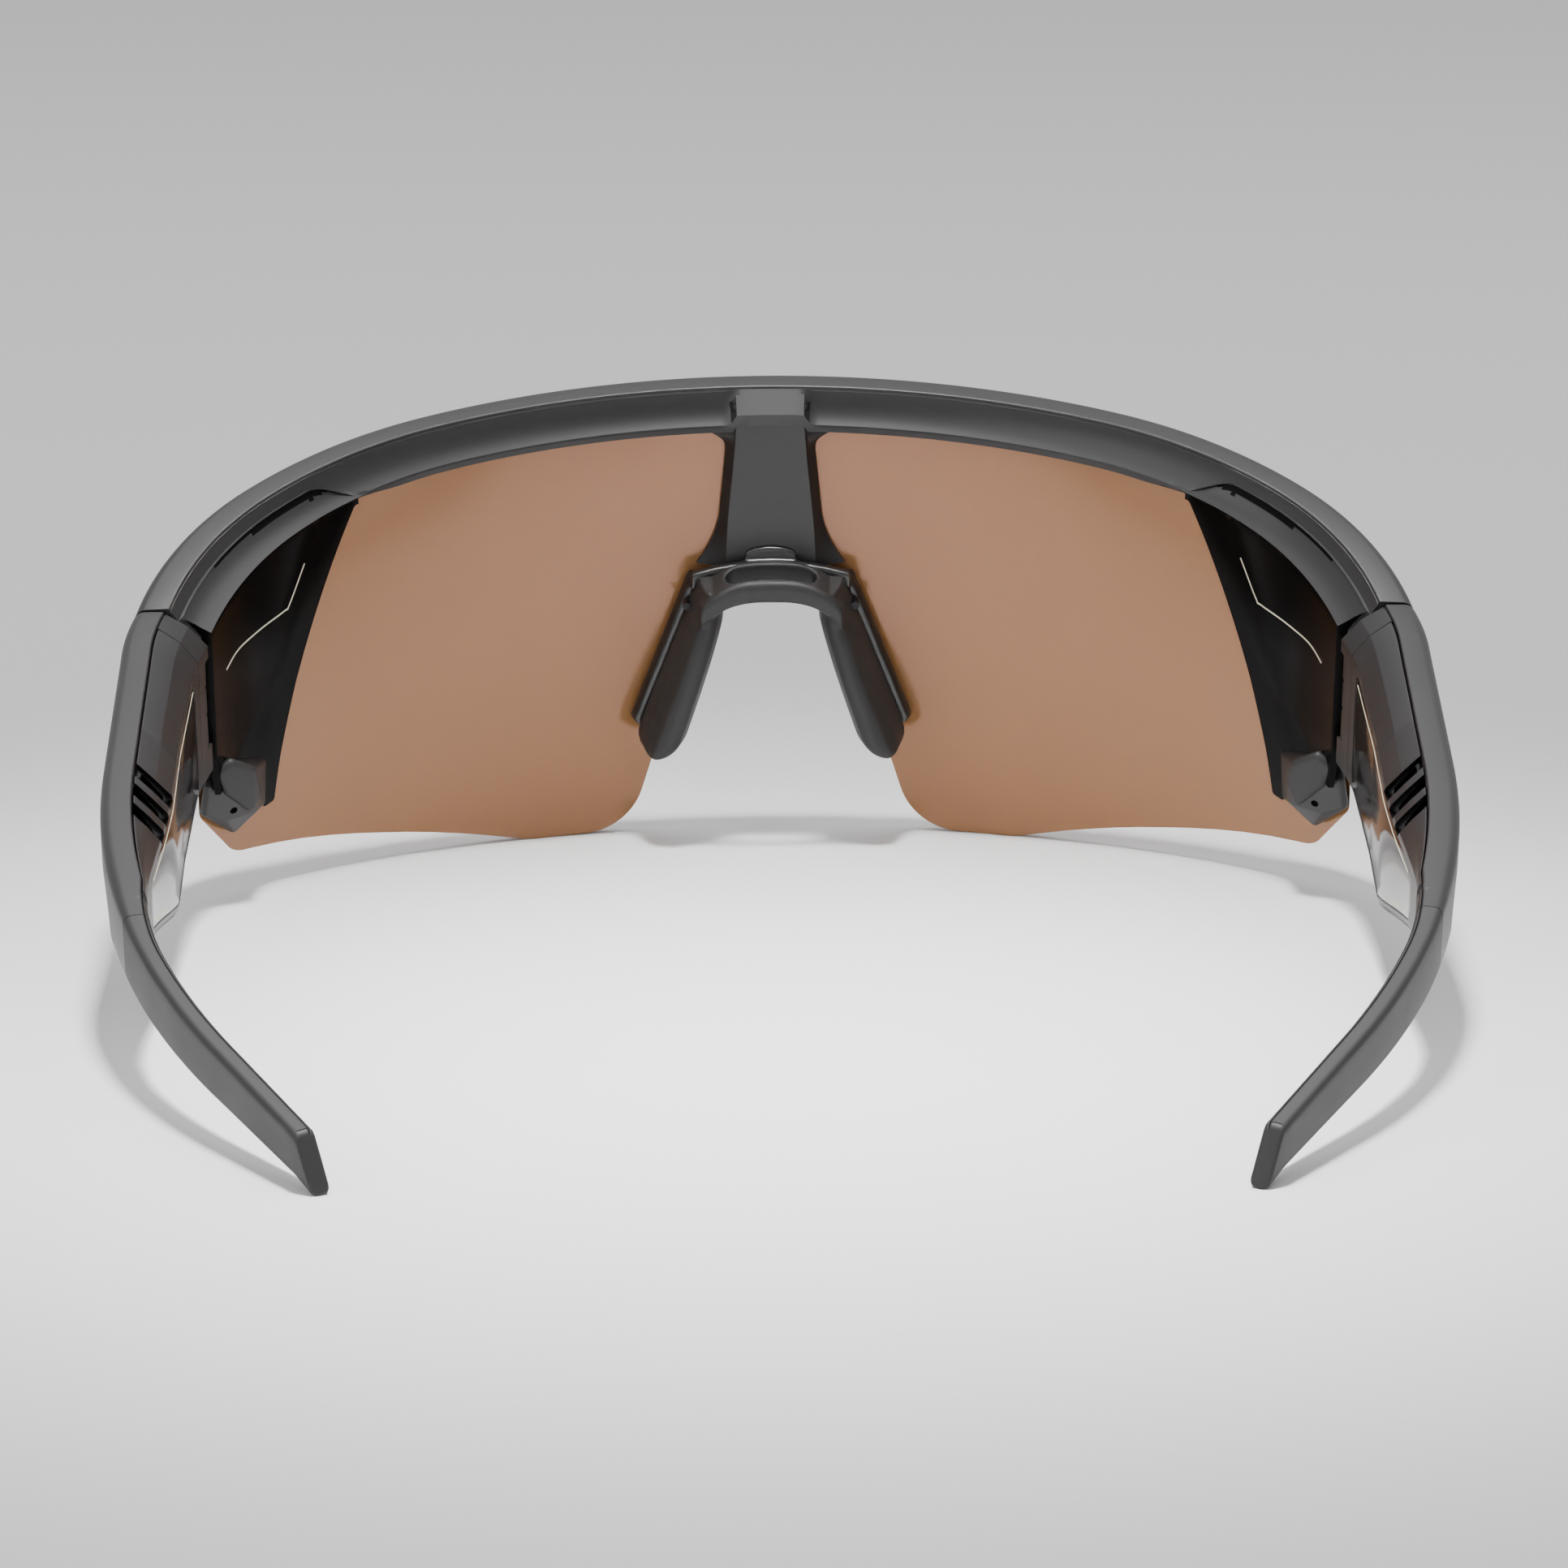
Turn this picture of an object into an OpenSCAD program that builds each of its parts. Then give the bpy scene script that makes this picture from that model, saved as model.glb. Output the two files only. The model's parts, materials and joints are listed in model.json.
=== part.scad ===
// Wraparound shield glasses with folding arms and built-in speakers, microphones and camera.
// All sizes are millimetres. The pieces are drawn in the wearer's frame: +X to the wearer's right,
// +Y forward, +Z up, with the origin on the front of the brow and the arms' top line level.
// rest_pose() then tips the whole object back until the lens lobes and the arm tips stand on z = 0.

/* [Brow] */
// Outer width across the arms
frame_w = 151.2; // [142:1:160]
// Plan radius of the front of the brow
brow_r = 85; // [78:1:92]
// Angle at which the front curve hands over to the tighter corner curve
corner_angle = 48; // [42:1:54]
// Height of the brow's top edge above the arms' top line
brow_rise = 6.5; // [4:0.5:9]
// Width of the flat top band of the brow
top_band = 4.1; // [3.4:0.1:4.6]
// Wall of the front of the brow
front_wall = 1.9; // [1.4:0.1:2.2]
// How far the front wall hangs over the top of the lens
front_lip = 3.4; // [2:0.2:5]

/* [Lens] */
// Radius of the lens's inner surface
lens_r = 80; // [76:1:86]
// Lens thickness
lens_t = 1.8; // [1.4:0.1:2.2]
// Depth of the lens's inner surface behind the front of the brow, on the centre line
lens_set = 4.5; // [4.2:0.1:5]
// Forward lean of the lens
lens_lean = 10; // [6:1:13]
// Depth of the lobes below the arms' top line
lobe_depth = 48.6; // [42:0.5:52]
// Half the distance between the two lobes
lobe_x = 25; // [22:0.5:28]
// Half width of the lens at its lower outer corners
lens_half = 68.4; // [65:0.2:69]
// Height of the nose notch's crown, below the arms' top line
notch_top = 15; // [13.8:0.2:17]

/* [Arms] */
// Distance from the front of the brow to the brow-arm seam
seam_y = 51.4; // [48:0.2:56]
// Thickness of the arm housing behind the seam
arm_t = 8.3; // [7.6:0.1:9.5]
// Height of the arm housing
housing_h = 21.3; // [20:0.5:26]
// Straight run of the arm behind the corner curve
arm_straight = 28; // [24:1:36]
// Bend radius of the rear arm
arm_bend_r = 130; // [110:5:160]
// Inward bend of the rear arm
arm_bend = 28.5; // [22:0.5:32]
// Straight run behind the bend, up to the tip
arm_end = 19.5; // [14:0.5:26]
// Thickness of the rear arm
blade_t = 2.5; // [2:0.1:3.2]
// Wall of the arm housing
wall = 1.1; // [0.9:0.1:1.3]
// Depth of the outer band's inner edge, where the groove runs
groove_d = 3.4; // [3:0.1:3.8]
// Number of speaker slots in each arm
slot_count = 3; // [2:1:4]

/* [Hinge] */
// Radius of the hinge knuckles
knuckle_r = 1.3; // [1.15:0.05:1.5]
// Radius of the hinge pin
pin_r = 0.6; // [0.5:0.05:0.7]
// Running clearance of the pin in the front knuckle
pin_fit = 0.04; // [0.02:0.01:0.08]
// Gap between the moving arm and the front
swing_gap = 0.3; // [0.25:0.05:0.5]

/* [Nose] */
// Half width of the nose gap at the saddle
saddle_half = 6.1; // [5.4:0.1:7]
// Depth of the pad wings' lowest point below the arms' top line
wing_depth = 36.8; // [34:0.2:39]
// Width of the flat rear face of the bridge at its top
bridge_w = 8.8; // [7.6:0.2:10]

/* [Controls] */
// Travel of the two push buttons
button_travel = 0.4; // [0.3:0.05:0.6]
// Travel of the power slider
slider_travel = 2; // [1.6:0.1:2.4]

/* [Hidden] */

// ---- finishes ----
nylon = [0.16, 0.16, 0.17];
rubber = [0.13, 0.13, 0.14];
gloss = [0.12, 0.11, 0.12];
mirror_tint = [0.68, 0.54, 0.43, 0.7];
steel = [0.62, 0.62, 0.64];
board_green = [0.10, 0.30, 0.18];
cell_grey = [0.45, 0.47, 0.50];

// ---- general functions ----
function mix(a, b, t) = a + (b - a) * t;
function clamp01(t) = min(1, max(0, t));
function smooth(t) = let (c = clamp01(t)) c * c * (3 - 2 * c);
function unit(v) = v / norm(v);
function sum(list, i = 0) = i == len(list) - 1 ? list[i] : list[i] + sum(list, i + 1);
function steps(a, b, n) = [for (i = [0:n]) mix(a, b, i / n)];

// A corner at p, between a and b, rounded to radius r.
function fillet(a, p, b, r, n) =
    let (u = unit(a - p), w = unit(b - p), half = acos(u * w) / 2,
         c = p + unit(u + w) * r / sin(half),
         p1 = p + u * r / tan(half), p2 = p + w * r / tan(half),
         a1 = atan2(p1[1] - c[1], p1[0] - c[0]), a2 = atan2(p2[1] - c[1], p2[0] - c[0]),
         sweep = (a2 - a1 + 540) % 360 - 180)
    [for (i = [0:n]) c + r * [cos(a1 + sweep * i / n), sin(a1 + sweep * i / n)]];
// A closed outline from [x, y, radius] corners.
function rounded(pts, n = 5) = [
    for (i = [0:len(pts) - 1])
        let (k = len(pts), a = pts[(i + k - 1) % k], p = pts[i], b = pts[(i + 1) % k])
        each (p[2] > 0
            ? fillet([a[0], a[1]], [p[0], p[1]], [b[0], b[1]], p[2], n)
            : [[p[0], p[1]]])
];
function mirrored(pts) = [for (i = [len(pts) - 1:-1:0]) [-pts[i][0], pts[i][1]]];

// Area vector of a ring of 3D points: it tells which way round the ring runs.
function ring_normal(r) = sum([for (i = [0:len(r) - 1]) cross(r[i], r[(i + 1) % len(r)])]);
function centroid(r) = sum(r) / len(r);
function backwards(r) = [for (i = [len(r) - 1:-1:0]) r[i]];
// A solid skinned over rings of equal point count, with its two end rings as caps.
module loft(rings) {
    forward = centroid(rings[1]) - centroid(rings[0]);
    rr = ring_normal(rings[0]) * forward < 0 ? [for (r = rings) backwards(r)] : rings;
    n = len(rr[0]);
    m = len(rr);
    sides = [for (i = [0:m - 2], j = [0:n - 1])
        let (a = i * n + j, b = i * n + (j + 1) % n)
        each [[a, a + n, b + n], [a, b + n, b]]];
    caps = [[for (j = [0:n - 1]) j], [for (j = [n - 1:-1:0]) (m - 1) * n + j]];
    polyhedron(points = [for (r = rr) each r], faces = concat(sides, caps), convexity = 6);
}

// ---- plan path of the outer face: brow arc, corner arc, straight, bend, straight ----
corner_r = (frame_w / 2 - brow_r * sin(corner_angle)) / (1 - sin(corner_angle));
corner_c = [(brow_r - corner_r) * sin(corner_angle), (brow_r - corner_r) * cos(corner_angle) - brow_r];
s_corner = brow_r * corner_angle * PI / 180;
s_side = s_corner + corner_r * (90 - corner_angle) * PI / 180;
s_bend = s_side + arm_straight;
s_end = s_bend + arm_bend_r * arm_bend * PI / 180;
s_tip = s_end + arm_end;
bend_y = corner_c[1] - arm_straight;
// Direction of the outward normal from straight ahead, in degrees, at arc length s (s >= 0).
function heading(s) =
    s <= s_corner ? s / brow_r * 180 / PI :
    s <= s_side ? corner_angle + (s - s_corner) / corner_r * 180 / PI :
    s <= s_bend ? 90 :
    s <= s_end ? 90 + (s - s_bend) / arm_bend_r * 180 / PI : 90 + arm_bend;
function on_path(s) =
    let (h = heading(s))
    s <= s_corner ? [brow_r * sin(h), brow_r * cos(h) - brow_r] :
    s <= s_side ? corner_c + corner_r * [sin(h), cos(h)] :
    s <= s_bend ? [frame_w / 2, corner_c[1] - (s - s_side)] :
    s <= s_end ? [frame_w / 2 - arm_bend_r * (1 - sin(h)), bend_y + arm_bend_r * cos(h)] :
    [frame_w / 2 - arm_bend_r * (1 - sin(h)), bend_y + arm_bend_r * cos(h)]
        + (s - s_end) * [cos(h), -sin(h)];
// Point at arc length s (negative on the left), depth d behind the outer face and height z.
function at(s, d, z) =
    let (a = abs(s), p = on_path(a), h = heading(a), x = p[0] - d * sin(h))
    [s < 0 ? -x : x, p[1] - d * cos(h), z];
function ring_at(s, section) = [for (q = section) at(s, q[0], q[1])];
s_seam = s_corner + corner_r * (acos((-seam_y - corner_c[1]) / corner_r) - corner_angle) * PI / 180;

// ---- brow heights ----
drop_from = 45;
seam_top = 0.2;
function brow_top(s) =
    brow_rise - (brow_rise - seam_top) * pow(max(0, abs(s) - drop_from) / (s_seam - drop_from), 2);
// The rear bevel runs from the ridge at the top band down to a lower ridge.
low_ridge_front = 6.7;
function low_ridge_d(s) = mix(low_ridge_front, arm_t, smooth((abs(s) - 45) / 50));
function low_ridge_z(s) = brow_top(s) - mix(4.1, 4.6, smooth((abs(s) - 40) / 50));
function bevel(s, u) = [mix(top_band, low_ridge_d(s), u), mix(brow_top(s) - 0.3, low_ridge_z(s), u)];

// ---- lens surface ----
// Y of the lens's inner surface at x and z.
function lens_y(x, z) =
    -lens_set - (lens_r - sqrt(lens_r * lens_r - x * x)) / cos(lens_lean) + z * tan(lens_lean);
function depth_in_brow(x, y) =
    atan2(x, y + brow_r) <= corner_angle
        ? brow_r - norm([x, y + brow_r])
        : corner_r - norm([x - corner_c[0], y - corner_c[1]]);
// Depth of the lens's inner surface at arc length s and height z, by two refinements.
function lens_x(s, z, d) = at(abs(s), d, z)[0];
function lens_depth(s, z) =
    let (d1 = depth_in_brow(lens_x(s, z, lens_set), lens_y(lens_x(s, z, lens_set), z)),
         d2 = depth_in_brow(lens_x(s, z, d1), lens_y(lens_x(s, z, d1), z)))
    d2;
lens_cover = 3.6;
lens_inner_half = 64.5;
top_x = [for (i = [0:10]) i * 6];
function lens_top(x) = brow_top(asin(x / (brow_r - lens_set)) * PI / 180 * brow_r) - lens_cover;
lens_corner_z = lobe_depth - 20;
lens_half_outline = rounded(concat(
    [for (x = top_x) [x, lens_top(x), 0]],
    [
        [lens_inner_half, brow_top(74) - 5.4, 2.5],
        [lens_inner_half, -18.5, 2],
        [lens_half, -22.5, 2.5],
        [lens_half, -lens_corner_z, 3],
        [lens_half - 3.6, -lens_corner_z - 7.2, 3.5],
        [lens_half - 20, -lobe_depth + 6.6, 30],
        [lobe_x + 5, -lobe_depth + 0.2, 12],
        [lobe_x - 7.2, -lobe_depth - 0.6, 7],
        [lobe_x - 12, -lobe_depth + 14, 10],
        [saddle_half + 3, -26, 12],
        [saddle_half, -notch_top, 4],
        [0, -notch_top, 0],
    ]), 6);
lens_outline = concat(lens_half_outline, mirrored([for (i = [1:len(lens_half_outline) - 2])
    lens_half_outline[i]]));

// ---- rest pose ----
// Standing still, the lobes' rear edges and the tips' lower ends touch the surface.
tip_low = 5.9;
tip_foot = at(s_tip + 2.2, blade_t / 2, -tip_low);
lobe_foot = [lobe_x, lens_y(lobe_x, -lobe_depth), -lobe_depth];
rest_tilt = atan2(tip_foot[2] - lobe_foot[2], lobe_foot[1] - tip_foot[1]);
function tipped_z(p) = p[1] * sin(rest_tilt) + p[2] * cos(rest_tilt);
function tipped_y(p) = p[1] * cos(rest_tilt) - p[2] * sin(rest_tilt);
rest_z = -min([for (q = lens_outline) tipped_z([q[0], lens_y(q[0], q[1]), q[1]])]);
camera_z = -8.6;
camera_flange_r = 4.6;
front_reach = tipped_y([0, -0.25, -front_lip + 0.9]);
rear_reach = tipped_y(at(s_tip + 3.03, 0, -tip_low + 1));
rest_y = -(front_reach + rear_reach) / 2;
module rest_pose() {
    translate([0, rest_y, rest_z]) rotate([rest_tilt, 0, 0]) children();
}
// A piece of the right-hand side, drawn on the left for side = -1.
module on_side(side) {
    if (side > 0) children();
    else mirror([1, 0, 0]) children();
}
module box(lo, hi) {
    translate(lo) cube(hi - lo);
}

// ---- hinge geometry ----
hinge_x = at(s_seam, arm_t, 0)[0] + knuckle_r + 0.06;
hinge_y = -seam_y;
relief_r = knuckle_r + swing_gap;
knuckle_top = -6;
knuckle_bottom = -17;
knuckle_gap = 0.2;
knuckle_third = (knuckle_top - knuckle_bottom) / 3;
leaf_t = 1.3;
leaf_top = knuckle_top - 0.6;
leaf_bottom = knuckle_bottom + 0.6;
leaf_x = hinge_x + 0.75;
front_leaf_len = 8.6;
knuckle_web = 2.8;
rear_leaf_gap = 2.2;
rear_leaf_len = 9.8;
screw_r = 0.7;
screw_head_r = 1.15;
screw_head_t = 0.4;
screw_len = 3.2;
front_screw_y = [for (i = [0, 1]) hinge_y + 3.9 + i * 3];
rear_screw_y = [for (i = [0, 1]) hinge_y - 4.6 - i * 4];
screw_z = (knuckle_top + knuckle_bottom) / 2;
module knuckle(low, high) {
    translate([hinge_x, hinge_y, low]) cylinder(r = knuckle_r, h = high - low, $fn = 32);
}
module at_hinge(r, low, high) {
    translate([hinge_x, hinge_y, low]) cylinder(r = r, h = high - low, $fn = 32);
}
module cross_screw(y, head) {
    translate([leaf_x - screw_head_t, y, screw_z]) rotate([0, 90, 0]) {
        if (head) cylinder(r = screw_head_r, h = screw_head_t, $fn = 24);
        cylinder(r = screw_r, h = screw_head_t + leaf_t + screw_len, $fn = 24);
    }
}

// ================= FRONT =================
brow_steps = steps(-s_seam - 1, s_seam + 1, 56);
function endpiece(s) = smooth((abs(s) - 60) / 22);
function front_low(s) = mix(-front_lip, -housing_h, endpiece(s));
function brow_section(s) =
    let (t = brow_top(s), low = front_low(s), under = mix(t - 1.9, t - 2.6, endpiece(s)),
         lip_d = mix(front_wall + 0.9, front_wall, endpiece(s)))
    [
        [0, t - 1.5], [0.12, t - 0.8], [0.5, t - 0.25], [1.2, t], [top_band - 0.3, t],
        [top_band, t - 0.25], [top_band, t - 1.4], [front_wall + 0.3, under],
        [front_wall, under - 0.4], [lip_d, low + 0.5], [lip_d - 0.5, low],
        [0.9, low], [0.25, low + 0.9], [0, (t + low) / 2]
    ];
module brow_frame() {
    color(nylon) rest_pose() difference() {
        union() {
            loft([for (s = brow_steps) ring_at(s, brow_section(s))]);
            for (side = [1, -1]) on_side(side) hinge_anchor();
        }
        for (side = [1, -1]) on_side(side) {
            box([0, hinge_y - 20, -60], [100, hinge_y + swing_gap, 30]);
            at_hinge(relief_r, -60, 30);
            for (y = front_screw_y) cross_screw(y, false);
        }
    }
}
// The block at the end of the brow that the front hinge leaf is screwed to.
anchor_len = 11;
module hinge_anchor() {
    inner = leaf_x + leaf_t + 0.03;
    skin = [for (s = steps(s_seam + 1, s_seam - anchor_len, 6)) at(s, 1, 0)];
    translate([0, 0, -housing_h + 1.7]) linear_extrude(housing_h - 5.4)
        polygon(concat([[inner, hinge_y - 1], [inner, skin[6][1]]],
            [for (i = [6:-1:0]) [skin[i][0], skin[i][1]]]));
}

cover_gap = 0.08;
panel_s0 = 57;
panel_s1 = 65;
seam_share = 0.3;
function cover_end(s) = mix(1, seam_share, smooth((abs(s) - panel_s0) / (panel_s1 - panel_s0)));
cover_half = s_seam - 1.2;
function cover_section(s) =
    let (u = cover_end(s), e = smooth((abs(s) - panel_s0 + 6) / (panel_s1 - panel_s0)),
         t = brow_top(s), tail = bevel(s, u), d0 = top_band + cover_gap,
         lip = mix(tail[1] - 1.3, tail[1] - 0.5, e),
         back = mix(lens_depth(min(abs(s), 70), 0) + 0.3, d0 + 0.1, smooth((abs(s) - panel_s0 - 3) / 5)))
    [
        [d0, t - 0.35], bevel(s, u * 0.3) + [-0.12, -0.12], bevel(s, u * 0.65) + [-0.2, -0.2],
        bevel(s, u * 0.92), tail, tail + mix([-0.25, -0.9], [-0.2, -0.3], e),
        [min(back, tail[0] - 0.4), lip], [min(back, tail[0] - 0.4) - 0.1, lip + 0.25],
        [d0, t - 1.5]
    ];
module brow_inner_cover() {
    color(nylon) rest_pose() difference() {
        loft([for (s = steps(-cover_half, cover_half, 52)) ring_at(s, cover_section(s))]);
        for (side = [1, -1]) on_side(side) {
            box([0, hinge_y - 20, -60], [100, hinge_y + swing_gap, 30]);
            at_hinge(relief_r, -60, 30);
        }
        bridge_solid(bridge_fit);
    }
}

module lens_slab() {
    far = 400;
    translate([0, -lens_set, 0]) rotate([-lens_lean, 0, 0]) translate([0, -lens_r, 0]) difference() {
        translate([0, 0, -far / 2]) cylinder(r = lens_r + lens_t, h = far, $fn = 180);
        translate([0, 0, -far / 2 - 1]) cylinder(r = lens_r, h = far + 2, $fn = 180);
    }
}
lens_hole_r = 3.7;
module lens() {
    color(mirror_tint) rest_pose() difference() {
        intersection() {
            lens_slab();
            rotate([90, 0, 0]) translate([0, 0, -20]) linear_extrude(90) polygon(lens_outline);
        }
        camera_axis() translate([0, 0, -20]) cylinder(r = lens_hole_r, h = 40, $fn = 48);
    }
}

// ---- bridge: the upright bar between the two halves of the lens ----
bridge_fit = 0.1;
bridge_top = brow_rise - 1.6;
bridge_bottom = -notch_top - 0.4;
bridge_proud = 2.4;
bridge_seat = 0.15;
bridge_wall = 0.9;
function bridge_half(z) = bridge_w / 2 + 1.4 * smooth((bridge_top - z) / (bridge_top - bridge_bottom));
function bridge_flare(z) = 1.2 + 3.2 * pow(clamp01((-z - 8) / (notch_top - 7)), 2);
function bridge_ring(z, grow) =
    let (h = bridge_half(z), o = h + bridge_flare(z) + grow, ys = lens_y(o, z) - bridge_seat,
         yr = lens_y(0, z) - bridge_seat - bridge_proud - grow)
    concat([for (x = steps(-o, o, 4)) [x, lens_y(x, z) - bridge_seat, z]],
        [[o, ys - 0.7, z], [h + grow, yr, z], [-h - grow, yr, z], [-o, ys - 0.7, z]]);
module bridge_solid(grow) {
    zs = steps(bridge_bottom - grow, bridge_top + grow, 14);
    loft([for (z = zs) bridge_ring(z, grow)]);
}
module bridge_cover() {
    color(nylon) rest_pose() difference() {
        bridge_solid(0);
        translate([0, lens_y(0, camera_z), camera_z]) rotate([-lens_lean, 0, 0])
            box([-3.6, -bridge_proud + bridge_wall - 0.1, -3.4], [3.6, 1, 8.4]);
    }
}

module camera_axis() {
    translate([0, lens_y(0, camera_z) + lens_t, camera_z]) rotate([-lens_lean, 0, 0]) rotate([-90, 0, 0])
        children();
}
neck_r = lens_hole_r - 0.15;
barrel_r = 2.4;
barrel_fit = 0.05;
flange_t = 1.5;
window_r = 3.1;
window_t = 0.6;
ring_r = 4.1;
module camera_housing() {
    color(gloss) rest_pose() camera_axis() difference() {
        union() {
            translate([0, 0, 0.1]) cylinder(r = camera_flange_r, h = flange_t, $fn = 48);
            translate([0, 0, -lens_t - 0.1]) cylinder(r = neck_r, h = lens_t + 0.3, $fn = 48);
        }
        translate([0, 0, -9]) cylinder(r = barrel_r + barrel_fit, h = 20, $fn = 48);
        translate([0, 0, flange_t + 0.1 - window_t]) cylinder(r = window_r + barrel_fit, h = 5, $fn = 48);
        translate([0, 0, flange_t + 0.1 - 0.5]) difference() {
            cylinder(r = ring_r, h = 5, $fn = 48);
            translate([0, 0, -1]) cylinder(r = window_r + 0.4, h = 9, $fn = 48);
        }
    }
}
module camera_barrel() {
    color([0.08, 0.08, 0.09]) rest_pose() camera_axis() difference() {
        translate([0, 0, -lens_t - 0.2]) cylinder(r = barrel_r, h = lens_t + 0.2 + 0.8, $fn = 48);
        translate([0, 0, -0.4]) cylinder(r = 1.1, h = 3, $fn = 32);
    }
}
module camera_window() {
    color([0.1, 0.1, 0.12, 0.6]) rest_pose() camera_axis()
        translate([0, 0, flange_t + 0.1 - window_t]) cylinder(r = window_r, h = window_t, $fn = 48);
}
module status_light_ring() {
    color([0.9, 0.9, 0.88]) rest_pose() camera_axis()
        translate([0, 0, flange_t + 0.1 - 0.45]) difference() {
            cylinder(r = ring_r - barrel_fit, h = 0.4, $fn = 48);
            translate([0, 0, -1]) cylinder(r = window_r + 0.4 + barrel_fit, h = 3, $fn = 48);
        }
}
module camera_board() {
    color(board_green) rest_pose()
        translate([0, lens_y(0, camera_z), camera_z]) rotate([-lens_lean, 0, 0])
            box([-3.2, -1.2, -3], [3.2, -0.5, 7.6]);
}

// ---- nose bracket: the hard fork that carries the soft pad ----
wing_top = notch_top + 1.2;
function wing_in(z) = saddle_half + 0.1 + 5.4 * pow(clamp01((-z - 20) / (wing_depth - 20)), 1.15);
function wing_out(z) = saddle_half + 4.0 + 8.4 * clamp01((-z - wing_top) / (wing_depth - wing_top));
bracket_gap = 0.5;
bracket_t = 1.5;
function bracket_ring(z, end) =
    let (xi = wing_in(z) + 0.8, xo = wing_out(z), yi = lens_y(xi, z) - bracket_gap,
         yo = lens_y(xo, z) - bracket_gap, shrink = end * (xo - xi) * 0.3)
    [
        [xi + shrink, yi, z], [xo - shrink, yo, z], [xo - shrink + 0.2, yo - 0.7, z],
        [xo - shrink - 0.3, yo - bracket_t - 0.6, z], [xi + shrink + 0.8, yi - bracket_t - 0.9, z],
        [xi + shrink - 0.1, yi - bracket_t, z]
    ];
bracket_zs = steps(-wing_top, -wing_depth + 1.6, 10);
module nose_bracket() {
    color(gloss) rest_pose() {
        for (side = [1, -1]) on_side(side)
            loft([for (i = [0:10]) bracket_ring(bracket_zs[i], i == 10 ? 1 : 0)]);
        loft([for (x = steps(-saddle_half - 3.6, saddle_half + 3.6, 10))
            let (lift = 1.2 * (1 - pow(abs(x) / (saddle_half + 3.6), 2)),
                 top = -wing_top + 0.9 + lift, y = lens_y(x, top) - bridge_proud - 0.4)
            [[x, y, top], [x, y - bracket_t, top], [x, y - bracket_t, top - 2.2], [x, y, top - 2.2]]]);
    }
}

// ---- nose pad: a rubber saddle with two wings ----
pad_gap = 0.1;
saddle_top = -notch_top - 0.6;
saddle_front = lens_y(0, saddle_top) - bridge_proud - 0.4 - bracket_t - pad_gap;
saddle_y_len = 6.2;
slot_half = 5.9;
slot_y_len = 3.7;
saddle_h = 2.9;
// Ring of one wing: contact face inward, rounded rear ridge, hollow outer face.
function wing_ring(z, end) =
    let (xi = wing_in(z), xo = wing_out(z) - 0.9, w = xo - xi,
         yf = lens_y(xi, z) - bracket_gap - bracket_t - 0.95, k = 1 - 0.45 * end,
         drop = mix(6.4, 7.6, smooth((-z - wing_top) / 12)))
    [
        [xi + 0.9 * end, yf, z], [xi - 0.35 + 0.9 * end, yf - 2.2 * k, z],
        [xi - 0.1 + end, yf - 4.4 * k, z],
        [xi + 0.12 * w + end, yf - (drop - 1.0) * k, z], [xi + 0.3 * w + 0.6 * end, yf - drop * k, z],
        [xi + 0.5 * w, yf - (drop - 0.5) * k, z], [xi + 0.66 * w, yf - (drop - 2.4) * k, z],
        [xi + 0.86 * w - 0.6 * end, lens_y(xo, z) - bracket_gap - bracket_t - 1.9, z],
        [xo - 0.8 * end, lens_y(xo, z) - bracket_gap - bracket_t - 1.0, z]
    ];
wing_zs = concat(steps(-wing_top - 1.5, -wing_depth + 2.2, 10), [-wing_depth + 0.8, -wing_depth]);
module nose_pad() {
    color(rubber) rest_pose() {
        for (side = [1, -1]) on_side(side) loft([for (i = [0:12])
            wing_ring(wing_zs[i], i < 11 ? 0 : (i == 11 ? 0.45 : 1))]);
        saddle();
    }
}
module saddle() {
    outer = saddle_half + 3.6;
    difference() {
        loft([for (x = steps(-outer, outer, 12))
            let (q = abs(x) / outer, sag = 1.6 * q * q, y = saddle_front + lens_y(x, 0) - lens_y(0, 0))
            [
                [x, y, saddle_top - sag], [x, y - saddle_y_len + 0.7, saddle_top - sag - 0.2],
                [x, y - saddle_y_len, saddle_top - sag - 1], [x, y - saddle_y_len + 0.3, saddle_top - sag - saddle_h],
                [x, y - saddle_y_len + 1.3, saddle_top - sag - saddle_h - 0.4], [x, y, saddle_top - sag - saddle_h]
            ]]);
        translate([0, saddle_front - 1.2, saddle_top - 9]) linear_extrude(20)
            polygon(rounded([
                [-slot_half, 0, 1.2], [slot_half, 0, 1.2],
                [slot_half - 0.8, -slot_y_len, 1.2], [-slot_half + 0.8, -slot_y_len, 1.2]
            ]));
    }
}
module nose_pad_studs() {
    color(steel) rest_pose() for (side = [1, -1]) on_side(side)
        translate([wing_out(-19) - 0.9, lens_y(10, -19) - 3.4, -19]) rotate([90, 0, 0])
            cylinder(r = 0.5, h = 1.4, $fn = 24);
}

module brow_flex_cable() {
    color([0.75, 0.5, 0.2]) rest_pose()
        loft([for (s = steps(-70, 70, 40))
            let (z = brow_top(s) - 2.75, d = front_wall + 0.5)
            ring_at(s, [[d, z], [d + 1.4, z], [d + 1.4, z - 0.2], [d, z - 0.2]])]);
}

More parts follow.
